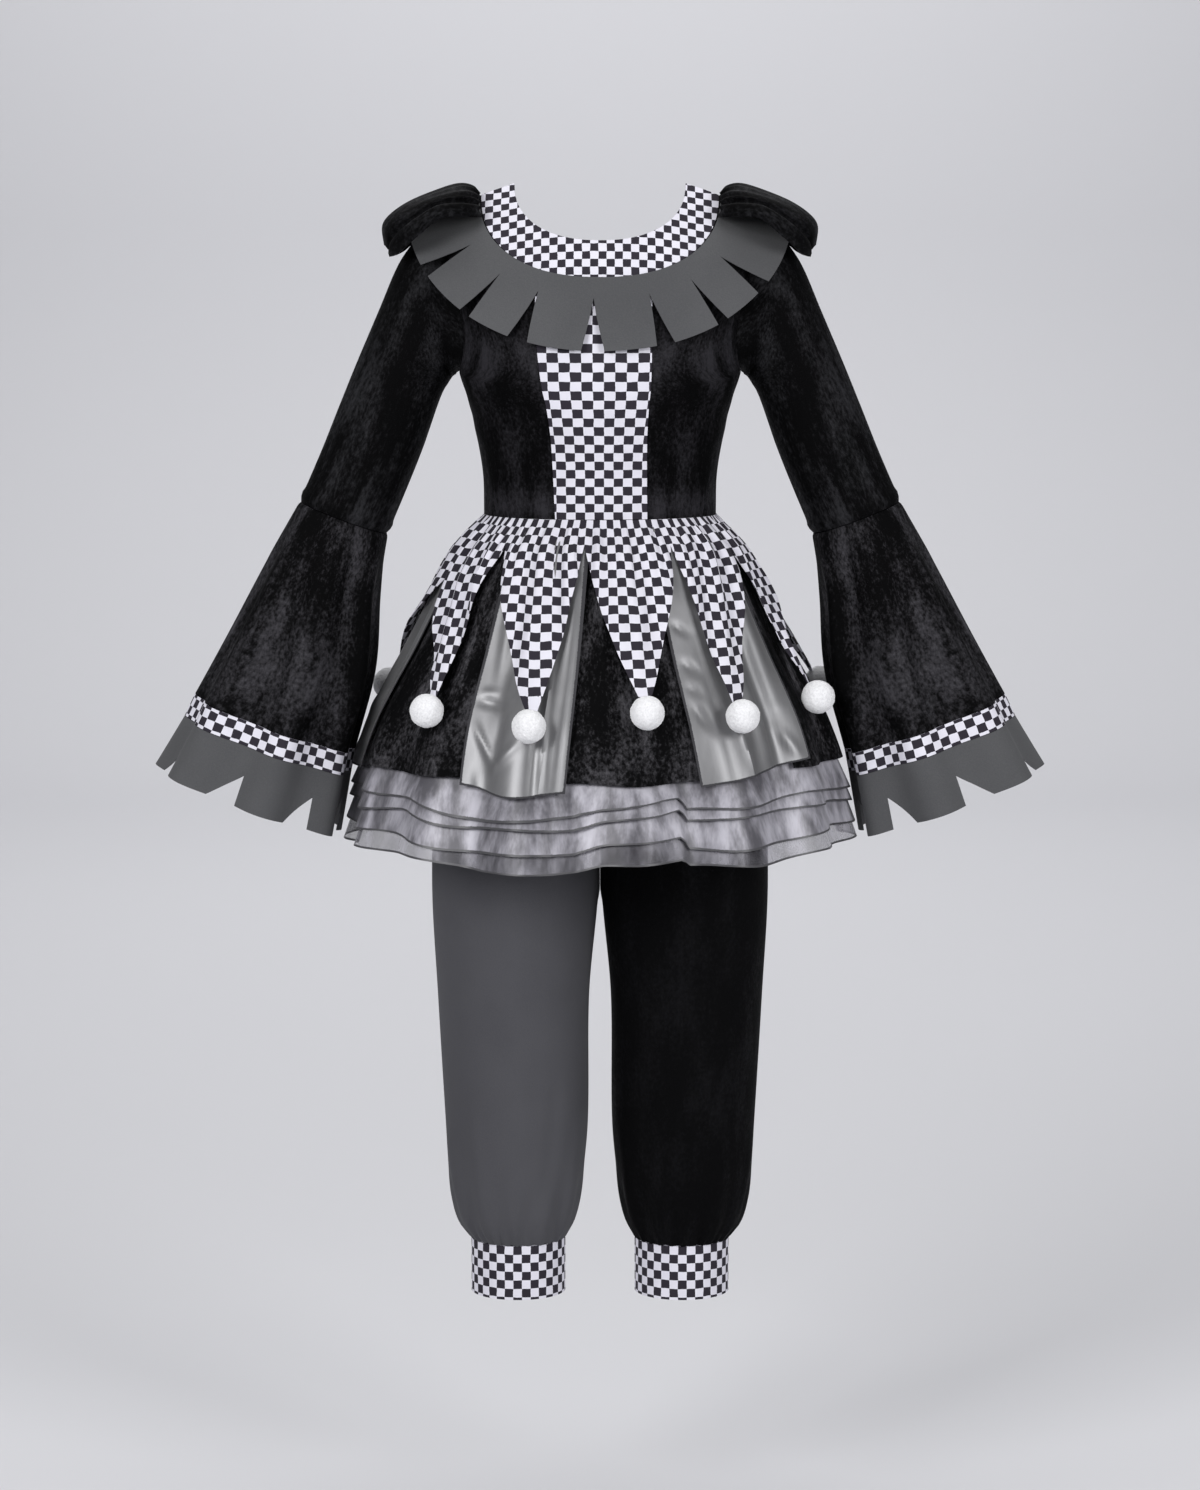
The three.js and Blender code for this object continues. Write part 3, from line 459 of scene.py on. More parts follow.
# %% The figure inside the dress
YOKE, SHOULDER, ARMPIT, WAIST = 1, 3, 6, 10
NECK_HALF, WAIST_HALF = 101, 138
SEAM_LEVEL = 0.006
SEAM = 0.3
FIGURE = table(
    "level half_width side front_depth front back_depth back square fall",
    (0, NECK_HALF, 0, 74, -66, 82, -76, 0.88, 0.88), (1, 140, -14, 99, -109, 105, -112, 0.88, 0.88),
    (2, 165, -30, 107, -134, 110, -134, 0.88, 1.0), (3, 186, -50, 113, -158, 112, -156, 0.88, 1.2),
    (4, 184, -110, 121, -187, 112, -182, 0.88, 1.4), (5, 176, -170, 126, -212, 110, -206, 0.88, 1.5),
    (6, 167, -221, 128, -236, 107, -230, 0.9, 1.5), (7, 156, -255, 126, -262, 103, -257, 0.92, 1.5),
    (8, 146, -299, 117, -300, 98, -299, 0.94, 1.5), (9, 139, -344, 107, -344, 93, -344, 0.96, 1.5),
    (10, WAIST_HALF, -389.5, 100, -389.5, 92, -389.5, 0.98, 1.5))
FRONT_PANEL = table(
    "level right left", (1, 76, 61), (4, 74, 60.5), (6, 68, 59), (7, 62, 56.5), (8, 57, 55), (10, 52.5, 55.5))


def on_ring(ring, angle):
    s, c = np.sin(np.radians(angle)), np.cos(np.radians(angle))
    depth = np.where(c > 0, ring["front_depth"], ring["back_depth"])
    height = np.where(c > 0, ring["front"], ring["back"])
    return np.stack([ring["half_width"] * np.sign(s) * np.abs(s) ** ring["square"],
                     -depth * np.sign(c) * np.abs(c) ** ring["square"],
                     ring["side"] + (height - ring["side"]) * np.abs(c) ** ring["fall"]], axis=-1)


def figure(angle, level):
    ring = {column: read(FIGURE, "level", level, column) for column in FIGURE if column != "level"}
    return on_ring(ring, angle)


def seam_angle(half_width):
    return math.degrees(SEAM / 2 / half_width)


print("waist", figure(np.array([90.0]), np.array([10.0])).round(1).tolist())

# %% [markdown]
# The chequered yoke is a flat ring of knit in two halves, joined on the shoulders. Each half is cut on the straight
# grain, so its squares run straight across, and its rows are counted by how far down the slope a point lies.

# %% The yoke
YOKE_SQUARE, YOKE_ROW = 9.5, 10
YOKE_SHIFT, YOKE_TOP = 1.9, 102.9


def yoke(name, start, end):
    trim = seam_angle(NECK_HALF)

    def form(u, v):
        return figure(start + trim + u * (end - start - 2 * trim), v * (YOKE - SEAM_LEVEL))

    def squares(u, v):
        x, y, z = form(u, v).T
        return (x + YOKE_SHIFT) / YOKE_SQUARE, (np.hypot(y, z) - YOKE_TOP) / YOKE_ROW

    piece, grid = lay(name, 150, 16, form, squares=squares, folds=lambda u, v: 0.5 * np.sin(u * 21) * v)
    tie(piece, grid, knit)


yoke("yoke_front_cloth", -90, 90)
yoke("yoke_back_cloth", 90, 270)

# %% [markdown]
# The bodice is cut in panels: a chequered panel down the front, with velvet side fronts and velvet backs. The front
# panel's seams are uneven, so each has its own column of distances from the middle. Its squares are counted by how
# far across and how far down a point lies, and get smaller towards the waist. Beside the armhole a panel's edge
# curves in, by up to 28 degrees of the way round, and the sleeve takes over there.

# %% The bodice
ARMHOLE_ANGLE = 28
BODICE_LENGTH, SIDE_FRONT_WIDTH, BACK_WIDTH = 300, 110, 150
BACK_MIDDLE = 180 + seam_angle(WAIST_HALF)
SIDES = (("left", False), ("right", True))


def bodice_level(v):
    return YOKE + SEAM_LEVEL + v * (WAIST - YOKE - SEAM_LEVEL)


def front_seam(level, side):
    """The angle round the figure at which the front panel ends."""
    half = read(FIGURE, "level", level, "half_width")
    share = read(FRONT_PANEL, "level", np.maximum(level, 1), side) / half
    return np.degrees(np.arcsin(share ** (1 / read(FIGURE, "level", level, "square"))))


def armhole_cut(level):
    share = np.clip((level - SHOULDER) / (ARMPIT - SHOULDER), 0, 1)
    return ARMHOLE_ANGLE * np.sqrt(np.maximum(1 - (1 - 2 * share) ** 2, 0))


def bodice_panel(name, across, edges, material, folds=None, squares=None, mirror=False):
    trim = seam_angle(WAIST_HALF)

    def form(u, v):
        level = bodice_level(v)
        start, end = edges(level)
        return figure(start + trim + u * (end - start - 2 * trim), level)

    piece, grid = lay(name, across, 84, form, folds=folds, squares=squares, mirror=mirror)
    tie(piece, grid, material)


PANEL_KNIT = table(
    "down row width", (109, -8, 13.5), (195, 0, 13.4), (239, 4, 13), (270, 7, 12.2), (301, 10, 11.4),
    (331, 13, 11.1), (361, 16, 11.1), (391, 19, 11.1))
KNIT_LINE = 4.7


def front_squares(u, v):
    level = bodice_level(v)
    right, left = -front_seam(level, "right"), front_seam(level, "left")
    place = figure(right + u * (left - right), level)
    width, row = (np.interp(-place[:, 2], PANEL_KNIT["down"], PANEL_KNIT[column]) for column in ("width", "row"))
    return (place[:, 0] - KNIT_LINE) / width, row


def side_front_folds(u, v):
    return creases(u * SIDE_FRONT_WIDTH, v * BODICE_LENGTH, (100, 205, 40, 165, 9, 2.2), (104, 215, 30, 205, 8, -2.0),
                   (104, 222, 50, 240, 9, 1.8),
                   (10, 120, 60, 150, 16, 1.2), (20, 290, 60, 270, 12, 1.0), (80, 292, 96, 255, 10, -1.2))


def back_folds(u, v):
    return creases(u * BACK_WIDTH, v * BODICE_LENGTH, (20, 205, 90, 160, 12, 2.0), (15, 225, 100, 230, 12, -1.8),
                   (30, 285, 120, 265, 12, 1.6), (60, 300, 140, 290, 10, -1.2), (140, 60, 120, 200, 16, 1.0))


bodice_panel("front_panel_cloth", 48, lambda w: (-front_seam(w, "right"), front_seam(w, "left")), knit,
             lambda u, v: 0.5 * np.sin(v * 9 + u * 3), front_squares)
for side, mirror in SIDES:
    bodice_panel(f"front_side_{side}_cloth", 44, lambda w: (front_seam(w, side), 90 - armhole_cut(w)), bodice_velvet,
                 side_front_folds, mirror=mirror)
    bodice_panel(f"back_{side}_cloth", 64, lambda w: (90 + armhole_cut(w), BACK_MIDDLE), bodice_velvet,
                 back_folds, mirror=mirror)

# %% [markdown]
# The sleeve runs from the armhole to the elbow seam along an arm that is held away from the body. Its first ring is
# the armhole itself, and tilted rings follow, each with a point outside the arm, one inside, and its half depth.

# %% The arm's tables and rings
SLEEVE = table(
    "ring out_x out_z in_x in_z depth", (0, 213, -59, 172.5, -224.5, 62), (1, 238, -95, 176, -229, 61),
    (2, 262, -150, 180.5, -236, 59), (3, 288, -210, 187.5, -250, 57), (4, 309.5, -262, 206.5, -303, 55),
    (5, 331.5, -316, 229, -358, 54), (6, 357, -374, 252.5, -413, 54))
BELL = table(
    "ring out_x out_z in_x in_z depth flute", (0, 357, -374.6, 252.5, -413.6, 54, 0),
    (1, 398, -451, 264, -488, 63, 3), (2, 439, -529, 272, -580, 71, 5), (3, 482, -607, 295.8, -674, 77, 6))
BAND = table(
    "ring out_x out_z in_x in_z depth flute", (0, 482.2, -607.6, 296, -674.6, 77, 6),
    (1, 494.5, -633, 301, -701, 80, 6))
FRILL = table(
    "ring out_x out_z in_x in_z depth flute", (0, 494.7, -633.6, 301.1, -701.6, 80, 6),
    (1, 511.5, -663, 308, -738, 84, 7), (2, 529, -693, 315, -774, 88, 8))
BELL_FLUTES = 7
FIT = 0.4


def arm_ring(sizes, ring, turn):
    out_x, out_z, in_x, in_z, depth = read_each(sizes, "ring", ring, "out_x out_z in_x in_z depth")
    angle = turn * 2 * math.pi
    flute = read(sizes, "ring", ring, "flute") * np.cos(BELL_FLUTES * angle - 0.6) if "flute" in sizes else 0
    half = np.hypot(out_x - in_x, out_z - in_z) / 2
    along = np.cos(angle) * (half + flute) / half
    return np.stack([(out_x + in_x) / 2 + (out_x - in_x) / 2 * along, np.sin(angle) * (depth + flute),
                     (out_z + in_z) / 2 + (out_z - in_z) / 2 * along], axis=-1)


def armhole(turn):
    turn = turn - np.floor(turn)
    t = np.where(turn < 0.5, turn * 2, 2 - turn * 2)
    cut = ARMHOLE_ANGLE * np.sin(math.pi * t)
    level = SHOULDER + (ARMPIT - SHOULDER) * (1 - np.cos(math.pi * t)) / 2
    point = figure(np.where(turn < 0.5, 90 + cut, 90 - cut), level)
    inwards = (0, 0, -135) - point * (0, 1, 1)
    return point + inwards / np.linalg.norm(inwards, axis=1, keepdims=True) * FIT


print("elbow ring", arm_ring(SLEEVE, np.array([6.0]), np.array([0.0])).round(1).tolist())

# %% [markdown]
# The velvet sleeve is fairly smooth, with a few folds that run out from the armpit and across above the elbow seam.
# The bell below it is a flared flounce. Its folds fall straight down, deepest at the hem, and one deep fold turns
# back at the inner side, next to the body.

# %% The sleeves and bells
SLEEVE_ROUND, SLEEVE_LENGTH, SLEEVE_RINGS = 360, 330, 7
BELL_ROUND, BELL_LENGTH = 520, 262


def sleeve_form(u, v):
    ring = v * SLEEVE_RINGS
    start = armhole(u)
    first = arm_ring(SLEEVE, np.zeros_like(u), u)
    lower = arm_ring(SLEEVE, np.maximum(ring - 1, 0), u)
    share = np.clip(ring, 0.004, 1)[:, None]
    return np.where(ring[:, None] >= 1, lower, start * (1 - share) + first * share)


def sleeve_folds(u, v):
    across, down = (u - 0.5) * SLEEVE_ROUND, v * SLEEVE_LENGTH
    top = creases(across, down, (0, 40, -70, 20, 9, 2.6), (5, 52, 75, 26, 9, 2.4), (-8, 66, -60, 90, 10, 2.0),
                  (10, 70, 62, 100, 10, -2.0), (-150, 30, -120, 120, 16, 1.6), (150, 60, 120, 160, 16, 1.4))
    elbow = creases(across, down, (-20, 300, -90, 255, 12, 1.8), (20, 305, 80, 268, 11, 1.8),
                    (90, 322, 150, 300, 11, -1.4), (-60, 325, -140, 310, 10, 1.4), (0, 240, 10, 170, 18, -1.2))
    seam = 1.6 * bell_curve(v, 0.978, 0.012) - 1.5 * smooth((v - 0.985) / 0.015)
    return (top + elbow) * smooth(v * 8) * smooth((1 - v) * 14) + seam


BELL_FOLDS = (
    (47, 40, -13, 420, 15, -6), (3, 70, -47, 420, 16, 4.5), (-32, 12, -40, 84, 8, -4.5), (76, 50, 84, 420, 14, 3.5),
    (-78, 60, -86, 420, 11, 4), (-104, 40, -112, 420, 12, -6), (170, 60, 188, 420, 16, -5),
    (215, 50, 200, 420, 14, 4), (-160, 60, -185, 420, 14, 5), (-215, 80, -222, 420, 15, -4),
    (125, 90, 132, 420, 15, -3))


def bell_folds(u, v):
    across = ((u - 0.25) - np.floor(u - 0.25) - 0.5) * BELL_ROUND
    return creases(across, v * BELL_LENGTH, *BELL_FOLDS) * smooth(v * 3) - 1.8 * bell_curve(v, 0, 0.012)


for side, mirror in SIDES:
    piece, grid = lay(f"sleeve_{side}_cloth", 100, 80, sleeve_form, folds=sleeve_folds, tube=True, mirror=mirror)
    tie(piece, grid, velvet)
    piece, grid = lay(f"bell_{side}_cloth", 130, 64, lambda u, v: arm_ring(BELL, v * 3, u), folds=bell_folds,
                      tube=True, mirror=mirror)
    tie(piece, grid, flounce_velvet_painted_sheen)

# %% [markdown]
# Below the bell runs a narrow chequered band, and below that the grey frill. The frill's edge is cut into broad
# points: each notch has one steep side and one slanted side, and is cut a little more than half way up.

# %% The sleeve bands and frills
BAND_SQUARES, BAND_ROWS, BAND_SHIFT = 56, 2.7, 0.35
NOTCHES = 7
FIRST_NOTCH = 30.3
NOTCH_TOP = 0.47
NOTCH_SLANT = 0.34
NOTCH_STEEP = 0.02


def notch_corners():
    corners = []
    for k in reversed(range(NOTCHES)):
        start = 1 - FIRST_NOTCH / 360 - k / NOTCHES
        corners += [(start, NOTCH_TOP), (start + NOTCH_SLANT / NOTCHES, 1), (start + (1 - NOTCH_STEEP) / NOTCHES, 1)]
    corners.append((corners[0][0] + 1, NOTCH_TOP))
    return np.array(corners)


def stations_between(corners, counts):
    parts = [np.linspace(a, b, n, endpoint=False) for a, b, n in zip(corners, corners[1:], counts)]
    return np.append(np.concatenate(parts), corners[-1])


corners = notch_corners()
frill_stations = stations_between(corners[:, 0], [7, 12, 1] * NOTCHES)


def frill_form(u, v):
    return arm_ring(FRILL, v * np.interp(u, corners[:, 0], corners[:, 1]) * 2, u)


def hem_folds(u, v):
    """The band and the frill go on with the folds of the bell's hem."""
    return bell_folds(u, 1 + 0 * v) * 0.9


for side, mirror in SIDES:
    piece, grid = lay(f"sleeve_band_{side}_cloth", 168, 8, lambda u, v: arm_ring(BAND, v, u), tube=True,
                      mirror=mirror, folds=hem_folds,
                      squares=lambda u, v: (u * BAND_SQUARES, -v * BAND_ROWS + BAND_SHIFT))
    tie(piece, grid, knit)
    piece, grid = lay(f"sleeve_frill_{side}_cloth", len(frill_stations) - 1, 26, frill_form, tube=True, mirror=mirror,
                      folds=hem_folds, stations=frill_stations)
    hem = arm_ring(FRILL, np.full(200, 2.0), np.linspace(0, 1, 200))
    tie(piece, grid, felt, cut=(length_of(hem), 0.078))

# %% [markdown]
# The collar is a ring of grey cloth, sewn to the yoke's edge and slit into square tabs. The slits are narrow wedges
# that stop a little below the seam. Each tab lifts off the dress by its own few millimetres, so their ends cast
# uneven shadows.

# %% The collar
COLLAR_EDGE = dict(
    half_width=225, side=-46.3, front_depth=128, front=-193, back_depth=130, back=-192, square=0.9, fall=1.15)
COLLAR_RISE = 2
SLIT_START = 0.28
SLIT = "at half"
FRONT_SLITS = table(SLIT, (-64.2, 2.9), (-42.1, 1.9), (-22.8, 3.2), (-1.7, 2.6), (17.5, 2.8), (37, 1.8), (55.9, 3.2))
BACK_SLITS = table(SLIT, (120, 2.6), (140, 2.4), (160, 2.8), (180, 2.6), (200, 2.8), (220, 2.4), (240, 2.6))
TAB_LIFT = (2.5, 4.0, 1.5, 3.5, 3.0, 1.0, 3.8, 2.0)


def collar_surface(angle, s):
    start = figure(angle, np.ones_like(angle))
    outwards = start * (1, 1, 0) + (0, 0, 60)
    outwards /= np.linalg.norm(outwards, axis=1, keepdims=True)
    s = s[:, None]
    return (start + outwards * COLLAR_RISE) * (1 - s) + on_ring(COLLAR_EDGE, angle) * s


def collar(name, start, end, slits):
    corners = [(start, 1)]
    for at, half in zip(slits["at"], slits["half"]):
        corners += [(at - half, 1), (at, SLIT_START), (at + half, 1)]
    corners = np.array(corners + [(end, 1)])
    columns = stations_between(corners[:, 0], [18, 3, 3] * len(slits["at"]) + [18])

    def form(u, v):
        return collar_surface(u, v * np.interp(u, corners[:, 0], corners[:, 1]))

    def folds(u, v):
        s = v * np.interp(u, corners[:, 0], corners[:, 1])
        tab = np.searchsorted(slits["at"], u)
        edges = np.concatenate([[start], slits["at"], [end]])
        share = (u - edges[tab]) / (edges[tab + 1] - edges[tab])
        curl = 0.9 * np.sin(math.pi * np.clip(share, 0, 1)) - 0.4
        return s ** 2 * (np.array(TAB_LIFT)[tab] + 1.6 * curl) + 0.7 * np.sin(u / 7.0) * s

    piece, grid = lay(name, len(columns) - 1, 22, form, folds=folds, stations=columns)
    outer = collar_surface(np.linspace(start, end, 200), np.ones(200))
    tie(piece, grid, felt,
        cut=(length_of(outer), 0.095))


collar("collar_front_cloth", -87, 87, FRONT_SLITS)
collar("collar_back_cloth", 93, 267, BACK_SLITS)

# %% [markdown]
# A puff of velvet stands over each shoulder. It is gathered into the yoke's seam, so pleats fan out from there and
# die away towards the lip. The lip rolls over and turns under at the front and the back, with a soft crease above it.

# %% The shoulder puffs
PUFF = table(
    "arch ridge_x ridge_z lip_x lip_y lip_z", (0, 142, -10, 138, 30, -40.4), (1, 151, -3, 146, 54, -39),
    (2, 168, -1, 162, 72, -38), (3, 195, -8, 186, 80, -40), (4, 224, -19, 210, 80, -59), (5, 245, -33, 228, 68, -74),
    (6, 256, -49, 240, 46, -83), (7, 254, -72, 248, 20, -86))
PUFF_LIP = 0.88
PUFF_ARCHES = 7
PUFF_HEM = dict(width=9, rise=3.5, middle=195)
PUFF_PLEATS = table(
    "at depth width", (0.12, 3.0, 0.05), (0.3, 3.6, 0.05), (0.47, 3.4, 0.045), (0.62, 3.0, 0.04), (0.76, 2.6, 0.04))


def puff_form(u, v):
    a, b = u * 2 - 1, v * PUFF_ARCHES
    ridge_x, ridge_z, lip_x, lip_y, lip_z = read_each(PUFF, "arch", b, "ridge_x ridge_z lip_x lip_y lip_z")
    share = np.minimum(np.abs(a) / PUFF_LIP, 1)
    turn = share * math.pi / 2
    depth = 6 * (lip_y / 80) * smooth(b / 1.5) * bell_curve(share, 0.7, 0.075)
    front = np.where(a > 0, -1, 1)
    point = np.stack([ridge_x + (lip_x - ridge_x) * (1 - np.cos(turn)), front * (lip_y - depth) * np.sin(turn),
                      lip_z + (ridge_z - lip_z) * np.cos(turn) ** 0.8 - depth * np.cos(turn)], axis=-1)
    under = np.maximum(np.abs(a) - PUFF_LIP, 0) / (1 - PUFF_LIP)
    inwards = np.stack([PUFF_HEM["middle"] - lip_x, -front * lip_y, 0 * lip_y], axis=-1)
    inwards /= np.linalg.norm(inwards, axis=1, keepdims=True)
    rise = np.stack([0 * under, 0 * under, under * PUFF_HEM["rise"]], axis=-1)
    return point + inwards * (under * PUFF_HEM["width"])[:, None] + rise


def puff_folds(u, v):
    a, b = np.abs(u * 2 - 1), v * PUFF_ARCHES
    height = np.zeros_like(a)
    for at, depth, width in zip(*(PUFF_PLEATS[c] for c in ("at", "depth", "width"))):
        sway = at + 0.012 * b * np.sign(u - 0.5)
        height -= depth * bell_curve(a, sway, width * (1 + 0.12 * b)) * np.exp(-b / 2.6)
    share = np.minimum(a / PUFF_LIP, 1)
    roll = 4.2 * bell_curve(share, 0.88, 0.1) - 5.0 * bell_curve(share, 0.69, 0.05)
    top = 1.2 * np.sin(b * 1.1 + a * 5)
    return (height + top) * smooth((PUFF_LIP + 0.02 - a) * 12) + roll * smooth(b / 1.2) * (1 - smooth((b - 6) / 1.5))


for side, mirror in (("left", True), ("right", False)):
    piece, grid = lay(f"shoulder_puff_{side}_cloth", 120, 60, lambda u, v: puff_form(u, v) * (-1, 1, 1),
                      folds=puff_folds, wall=0.8, mirror=mirror)
    tie(piece, grid, velvet, 1.4)

# %% [markdown]
# All the skirt's layers share one outline, given by how far below the waist a point is. Fourteen shallow flutes run
# round it. Each layer lies a little inside or outside this outline, so the layers nest and never cross.

# %% The skirt's outline
WAIST_Z = -390
SKIRT = table(
    "drop half_width front back", (0, 136.8, 0.72, 0.66), (25, 157, 0.75, 0.72), (50, 174, 0.77, 0.75),
    (80, 191, 0.79, 0.78), (120, 210, 0.8, 0.8), (160, 230, 0.81, 0.82), (200, 252, 0.82, 0.83),
    (240, 272, 0.83, 0.84), (290, 290, 0.83, 0.85), (340, 303, 0.84, 0.86), (390, 311, 0.84, 0.86))
FLUTES = 14
FLUTE_CREST = 8
FLUTE_DEPTH = 9


def skirt_point(angle, drop, out):
    width = read(SKIRT, "drop", drop, "half_width")
    s, c = np.sin(np.radians(angle)), np.cos(np.radians(angle))
    depth = width * np.where(c > 0, read(SKIRT, "drop", drop, "front"), read(SKIRT, "drop", drop, "back"))
    move = out + FLUTE_DEPTH * smooth(drop / 390) * np.cos(np.radians(FLUTES * (angle - FLUTE_CREST)))
    return np.stack([(width + move) * s, -(depth + move) * c, WAIST_Z - drop], axis=-1)


print("skirt at the hem", skirt_point(np.array([90.0]), np.array([389.0]), 0).round(1).tolist())

# %% [markdown]
# The peplum is a gathered strip of knit, cut into twelve long points that hang over the petals, six in front and six
# behind. The points swing a little as they hang. Close gathers fan out from the waist seam and soften by the middle
# of each point.

# %% The peplum
PEPLUM_HALF, POINT_ANGLE = 137, 30
PEPLUM = table(
    "slit open tip lean", (-122, 60, 204, -18), (-72, 69, 203, 12.8), (-42, 31, 213, 8.1), (-6.4, 27, 198, -1),
    (30.4, 29, 206, -12.9), (64.6, 30, 197, -10), (90, 38, 200, 7), (116.5, 36, 203, 5), (141, 34, 198, 2),
    (165, 34, 204, -1), (189.5, 36, 199, -3), (214, 38, 202, -4), (238, 60, 204, -18))
TIP_SHARE = 0.03
GATHERS = 3
POINT_SQUARES = 11.6
SQUARE = 10.9


def peplum_out(drop):
    return 1.9 + 4.4 * smooth(drop / 45) + 12 * smooth((drop - 60) / 140)


def peplum_place(place, drop):
    k = np.clip(np.floor(place).astype(int), 0, 11)
    share = place - k
    width = PEPLUM["slit"][k + 1] - PEPLUM["slit"][k]
    gather = 0.3 + 3.4 * smooth(drop / 45) - 2.4 * smooth((drop - 110) / 90)
    gather = gather * np.cos(2 * math.pi * GATHERS * (share - 0.5))
    swing = PEPLUM["lean"][k] * np.clip((drop - PEPLUM["open"][k]) / (PEPLUM["tip"][k] - PEPLUM["open"][k]), 0, 1)
    return skirt_point(PEPLUM["slit"][k] + share * width + swing, drop, peplum_out(drop) + gather)


PEPLUM_CREASE = "place top bottom lean half_width height"
PEPLUM_FOLDS = table(
    PEPLUM_CREASE, (0.16, 4, 70, 0.03, 7, -2.6), (0.3, 0, 120, -0.04, 8, 2.4), (0.44, 6, 150, 0.05, 7, -2.4),
    (0.56, 0, 100, -0.02, 6, 2.2), (0.68, 4, 130, 0.02, 7, -2.8), (0.82, 0, 80, 0.05, 7, 2.4),
    (1.12, 2, 90, 0.06, 7, 2.4), (1.26, 0, 110, -0.03, 6, -2.8), (1.4, 8, 160, 0.04, 8, 2.4),
    (1.58, 0, 120, -0.05, 7, -2.6), (1.73, 4, 96, 0.04, 6, 2.6), (1.88, 0, 60, -0.03, 6, -2.4))


def peplum_folds(place, drop):
    """Twelve creases that two neighbouring points share, and the next two in their turn."""
    height = np.zeros_like(place)
    for k in range(len(PEPLUM_FOLDS["place"])):
        at, top, bottom, lean, half_width, tall = (PEPLUM_FOLDS[c][k] for c in PEPLUM_CREASE.split())
        t = np.clip((drop - top) / (bottom - top), 0, 1)
        away = (np.mod(place - at - lean * t * 2 + 1, 2) - 1) * POINT_SQUARES * SQUARE
        fade = smooth(t * 5) * (1 - smooth((drop - bottom * 0.6) / (bottom * 0.7)))
        height += tall * bell_curve(away, 0, half_width) * fade
    return height


def peplum(name, first, last):
    corners = []
    for k in range(first, last):
        corners += [(k, PEPLUM["open"][k]), (k + 0.5 - TIP_SHARE, PEPLUM["tip"][k]),
                    (k + 0.5 + TIP_SHARE, PEPLUM["tip"][k])]
    corners = np.array(corners + [(last, PEPLUM["open"][last])])
    trim = seam_angle(PEPLUM_HALF) / POINT_ANGLE
    corners[0, 0] += trim
    corners[-1, 0] -= trim
    columns = stations_between(corners[:, 0], [16, 4, 16] * (last - first))

    def drop_at(u, v):
        return v * np.interp(u, corners[:, 0], corners[:, 1])

    def folds(u, v):
        drop = drop_at(u, v)
        pleat = 0.9 * np.sin(u * 2 * math.pi * 9 + 1.3 * np.sin(u * 7))
        pleat = pleat * smooth(drop / 8) * (1 - smooth((drop - 30) / 90))
        return pleat + peplum_folds(u, drop) + 0.8 * np.sin(u * 31 + drop / 19) * smooth((drop - 70) / 60)

    def squares(u, v):
        drop = drop_at(u, v)
        slope = np.interp(drop, [0, 60, 200], [0, 72, 226])
        return (u - 0.5) * POINT_SQUARES, -slope / SQUARE

    piece, grid = lay(name, len(columns) - 1, 60, lambda u, v: peplum_place(u, drop_at(u, v)), folds=folds,
                      squares=squares, stations=columns)
    tie(piece, grid, knit,
        cut=((last - first) * POINT_SQUARES * SQUARE * MM, 0.226))


peplum("peplum_front_cloth", 0, 6)
peplum("peplum_back_cloth", 6, 12)

# %% [markdown]
# A white pompom hangs on each point. It is modelled once as a ball whose surface is roughened into a fuzz, and copied
# to the twelve tips, each copy turned its own way so that no two look the same.

# %% The pompoms
POMPOM_RADIUS = 19.6
POMPOM_FUZZ = 1.0


def pompom_ball():
    bpy.ops.object.select_all(action="DESELECT")
    bpy.ops.mesh.primitive_ico_sphere_add(subdivisions=5, radius=POMPOM_RADIUS * MM)
    ball = bpy.context.object
    mesh = ball.data
    flat = np.empty(len(mesh.vertices) * 3)
    mesh.vertices.foreach_get("co", flat)
    point = flat.reshape(-1, 3)
    tuft = np.random.default_rng(7).uniform(-1, 1, len(point))
    lump = np.sin(point @ (410, 150, 260)) + np.sin(point @ (-230, 380, 190)) + np.sin(point @ (120, -310, 420))
    point = point * (1 + (POMPOM_FUZZ * tuft * 0.4 + 0.12 * lump)[:, None] / POMPOM_RADIUS)
    mesh.vertices.foreach_set("co", point.ravel())
    bpy.ops.object.shade_smooth()
    mesh.materials.append(yarn)
    return ball


ball = pompom_ball()
for k in range(12):
    low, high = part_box(f"pompom_{k + 1}")
    middle = [(a + b) / 2 for a, b in zip(low, high)]
    pompom = ball.copy()
    pompom.data = ball.data.copy()
    pompom.name = pompom.data.name = f"pompom_{k + 1}_yarn"
    bpy.context.collection.objects.link(pompom)
    bpy.ops.object.select_all(action="DESELECT")
    pompom.select_set(True)
    bpy.context.view_layer.objects.active = pompom
    pompom.rotation_euler = (k * 1.1, k * 0.7, k * 1.9)
    pompom.location = middle
    bpy.ops.object.transform_apply(location=True, rotation=True, scale=True)
    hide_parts(f"pompom_{k + 1}")
    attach(pompom, "root")
    total_faces += len(pompom.data.polygons)
bpy.data.objects.remove(ball)
print("pompoms: 12 of", len(pompom.data.polygons), "faces")

# %% [markdown]
# Under the peplum hang twelve petals, satin over velvet. Each row says where a petal starts, how far it drops at that
# side and at the far one, and how much its hem sags between them. A velvet petal laps a little under its satin
# neighbours, more at the hem than at the top. The satin ones have dark overlocked edges and silky folds that swing
# from the waist towards the hem, and the two in front have folds of their own. The velvet ones fall in long folds.

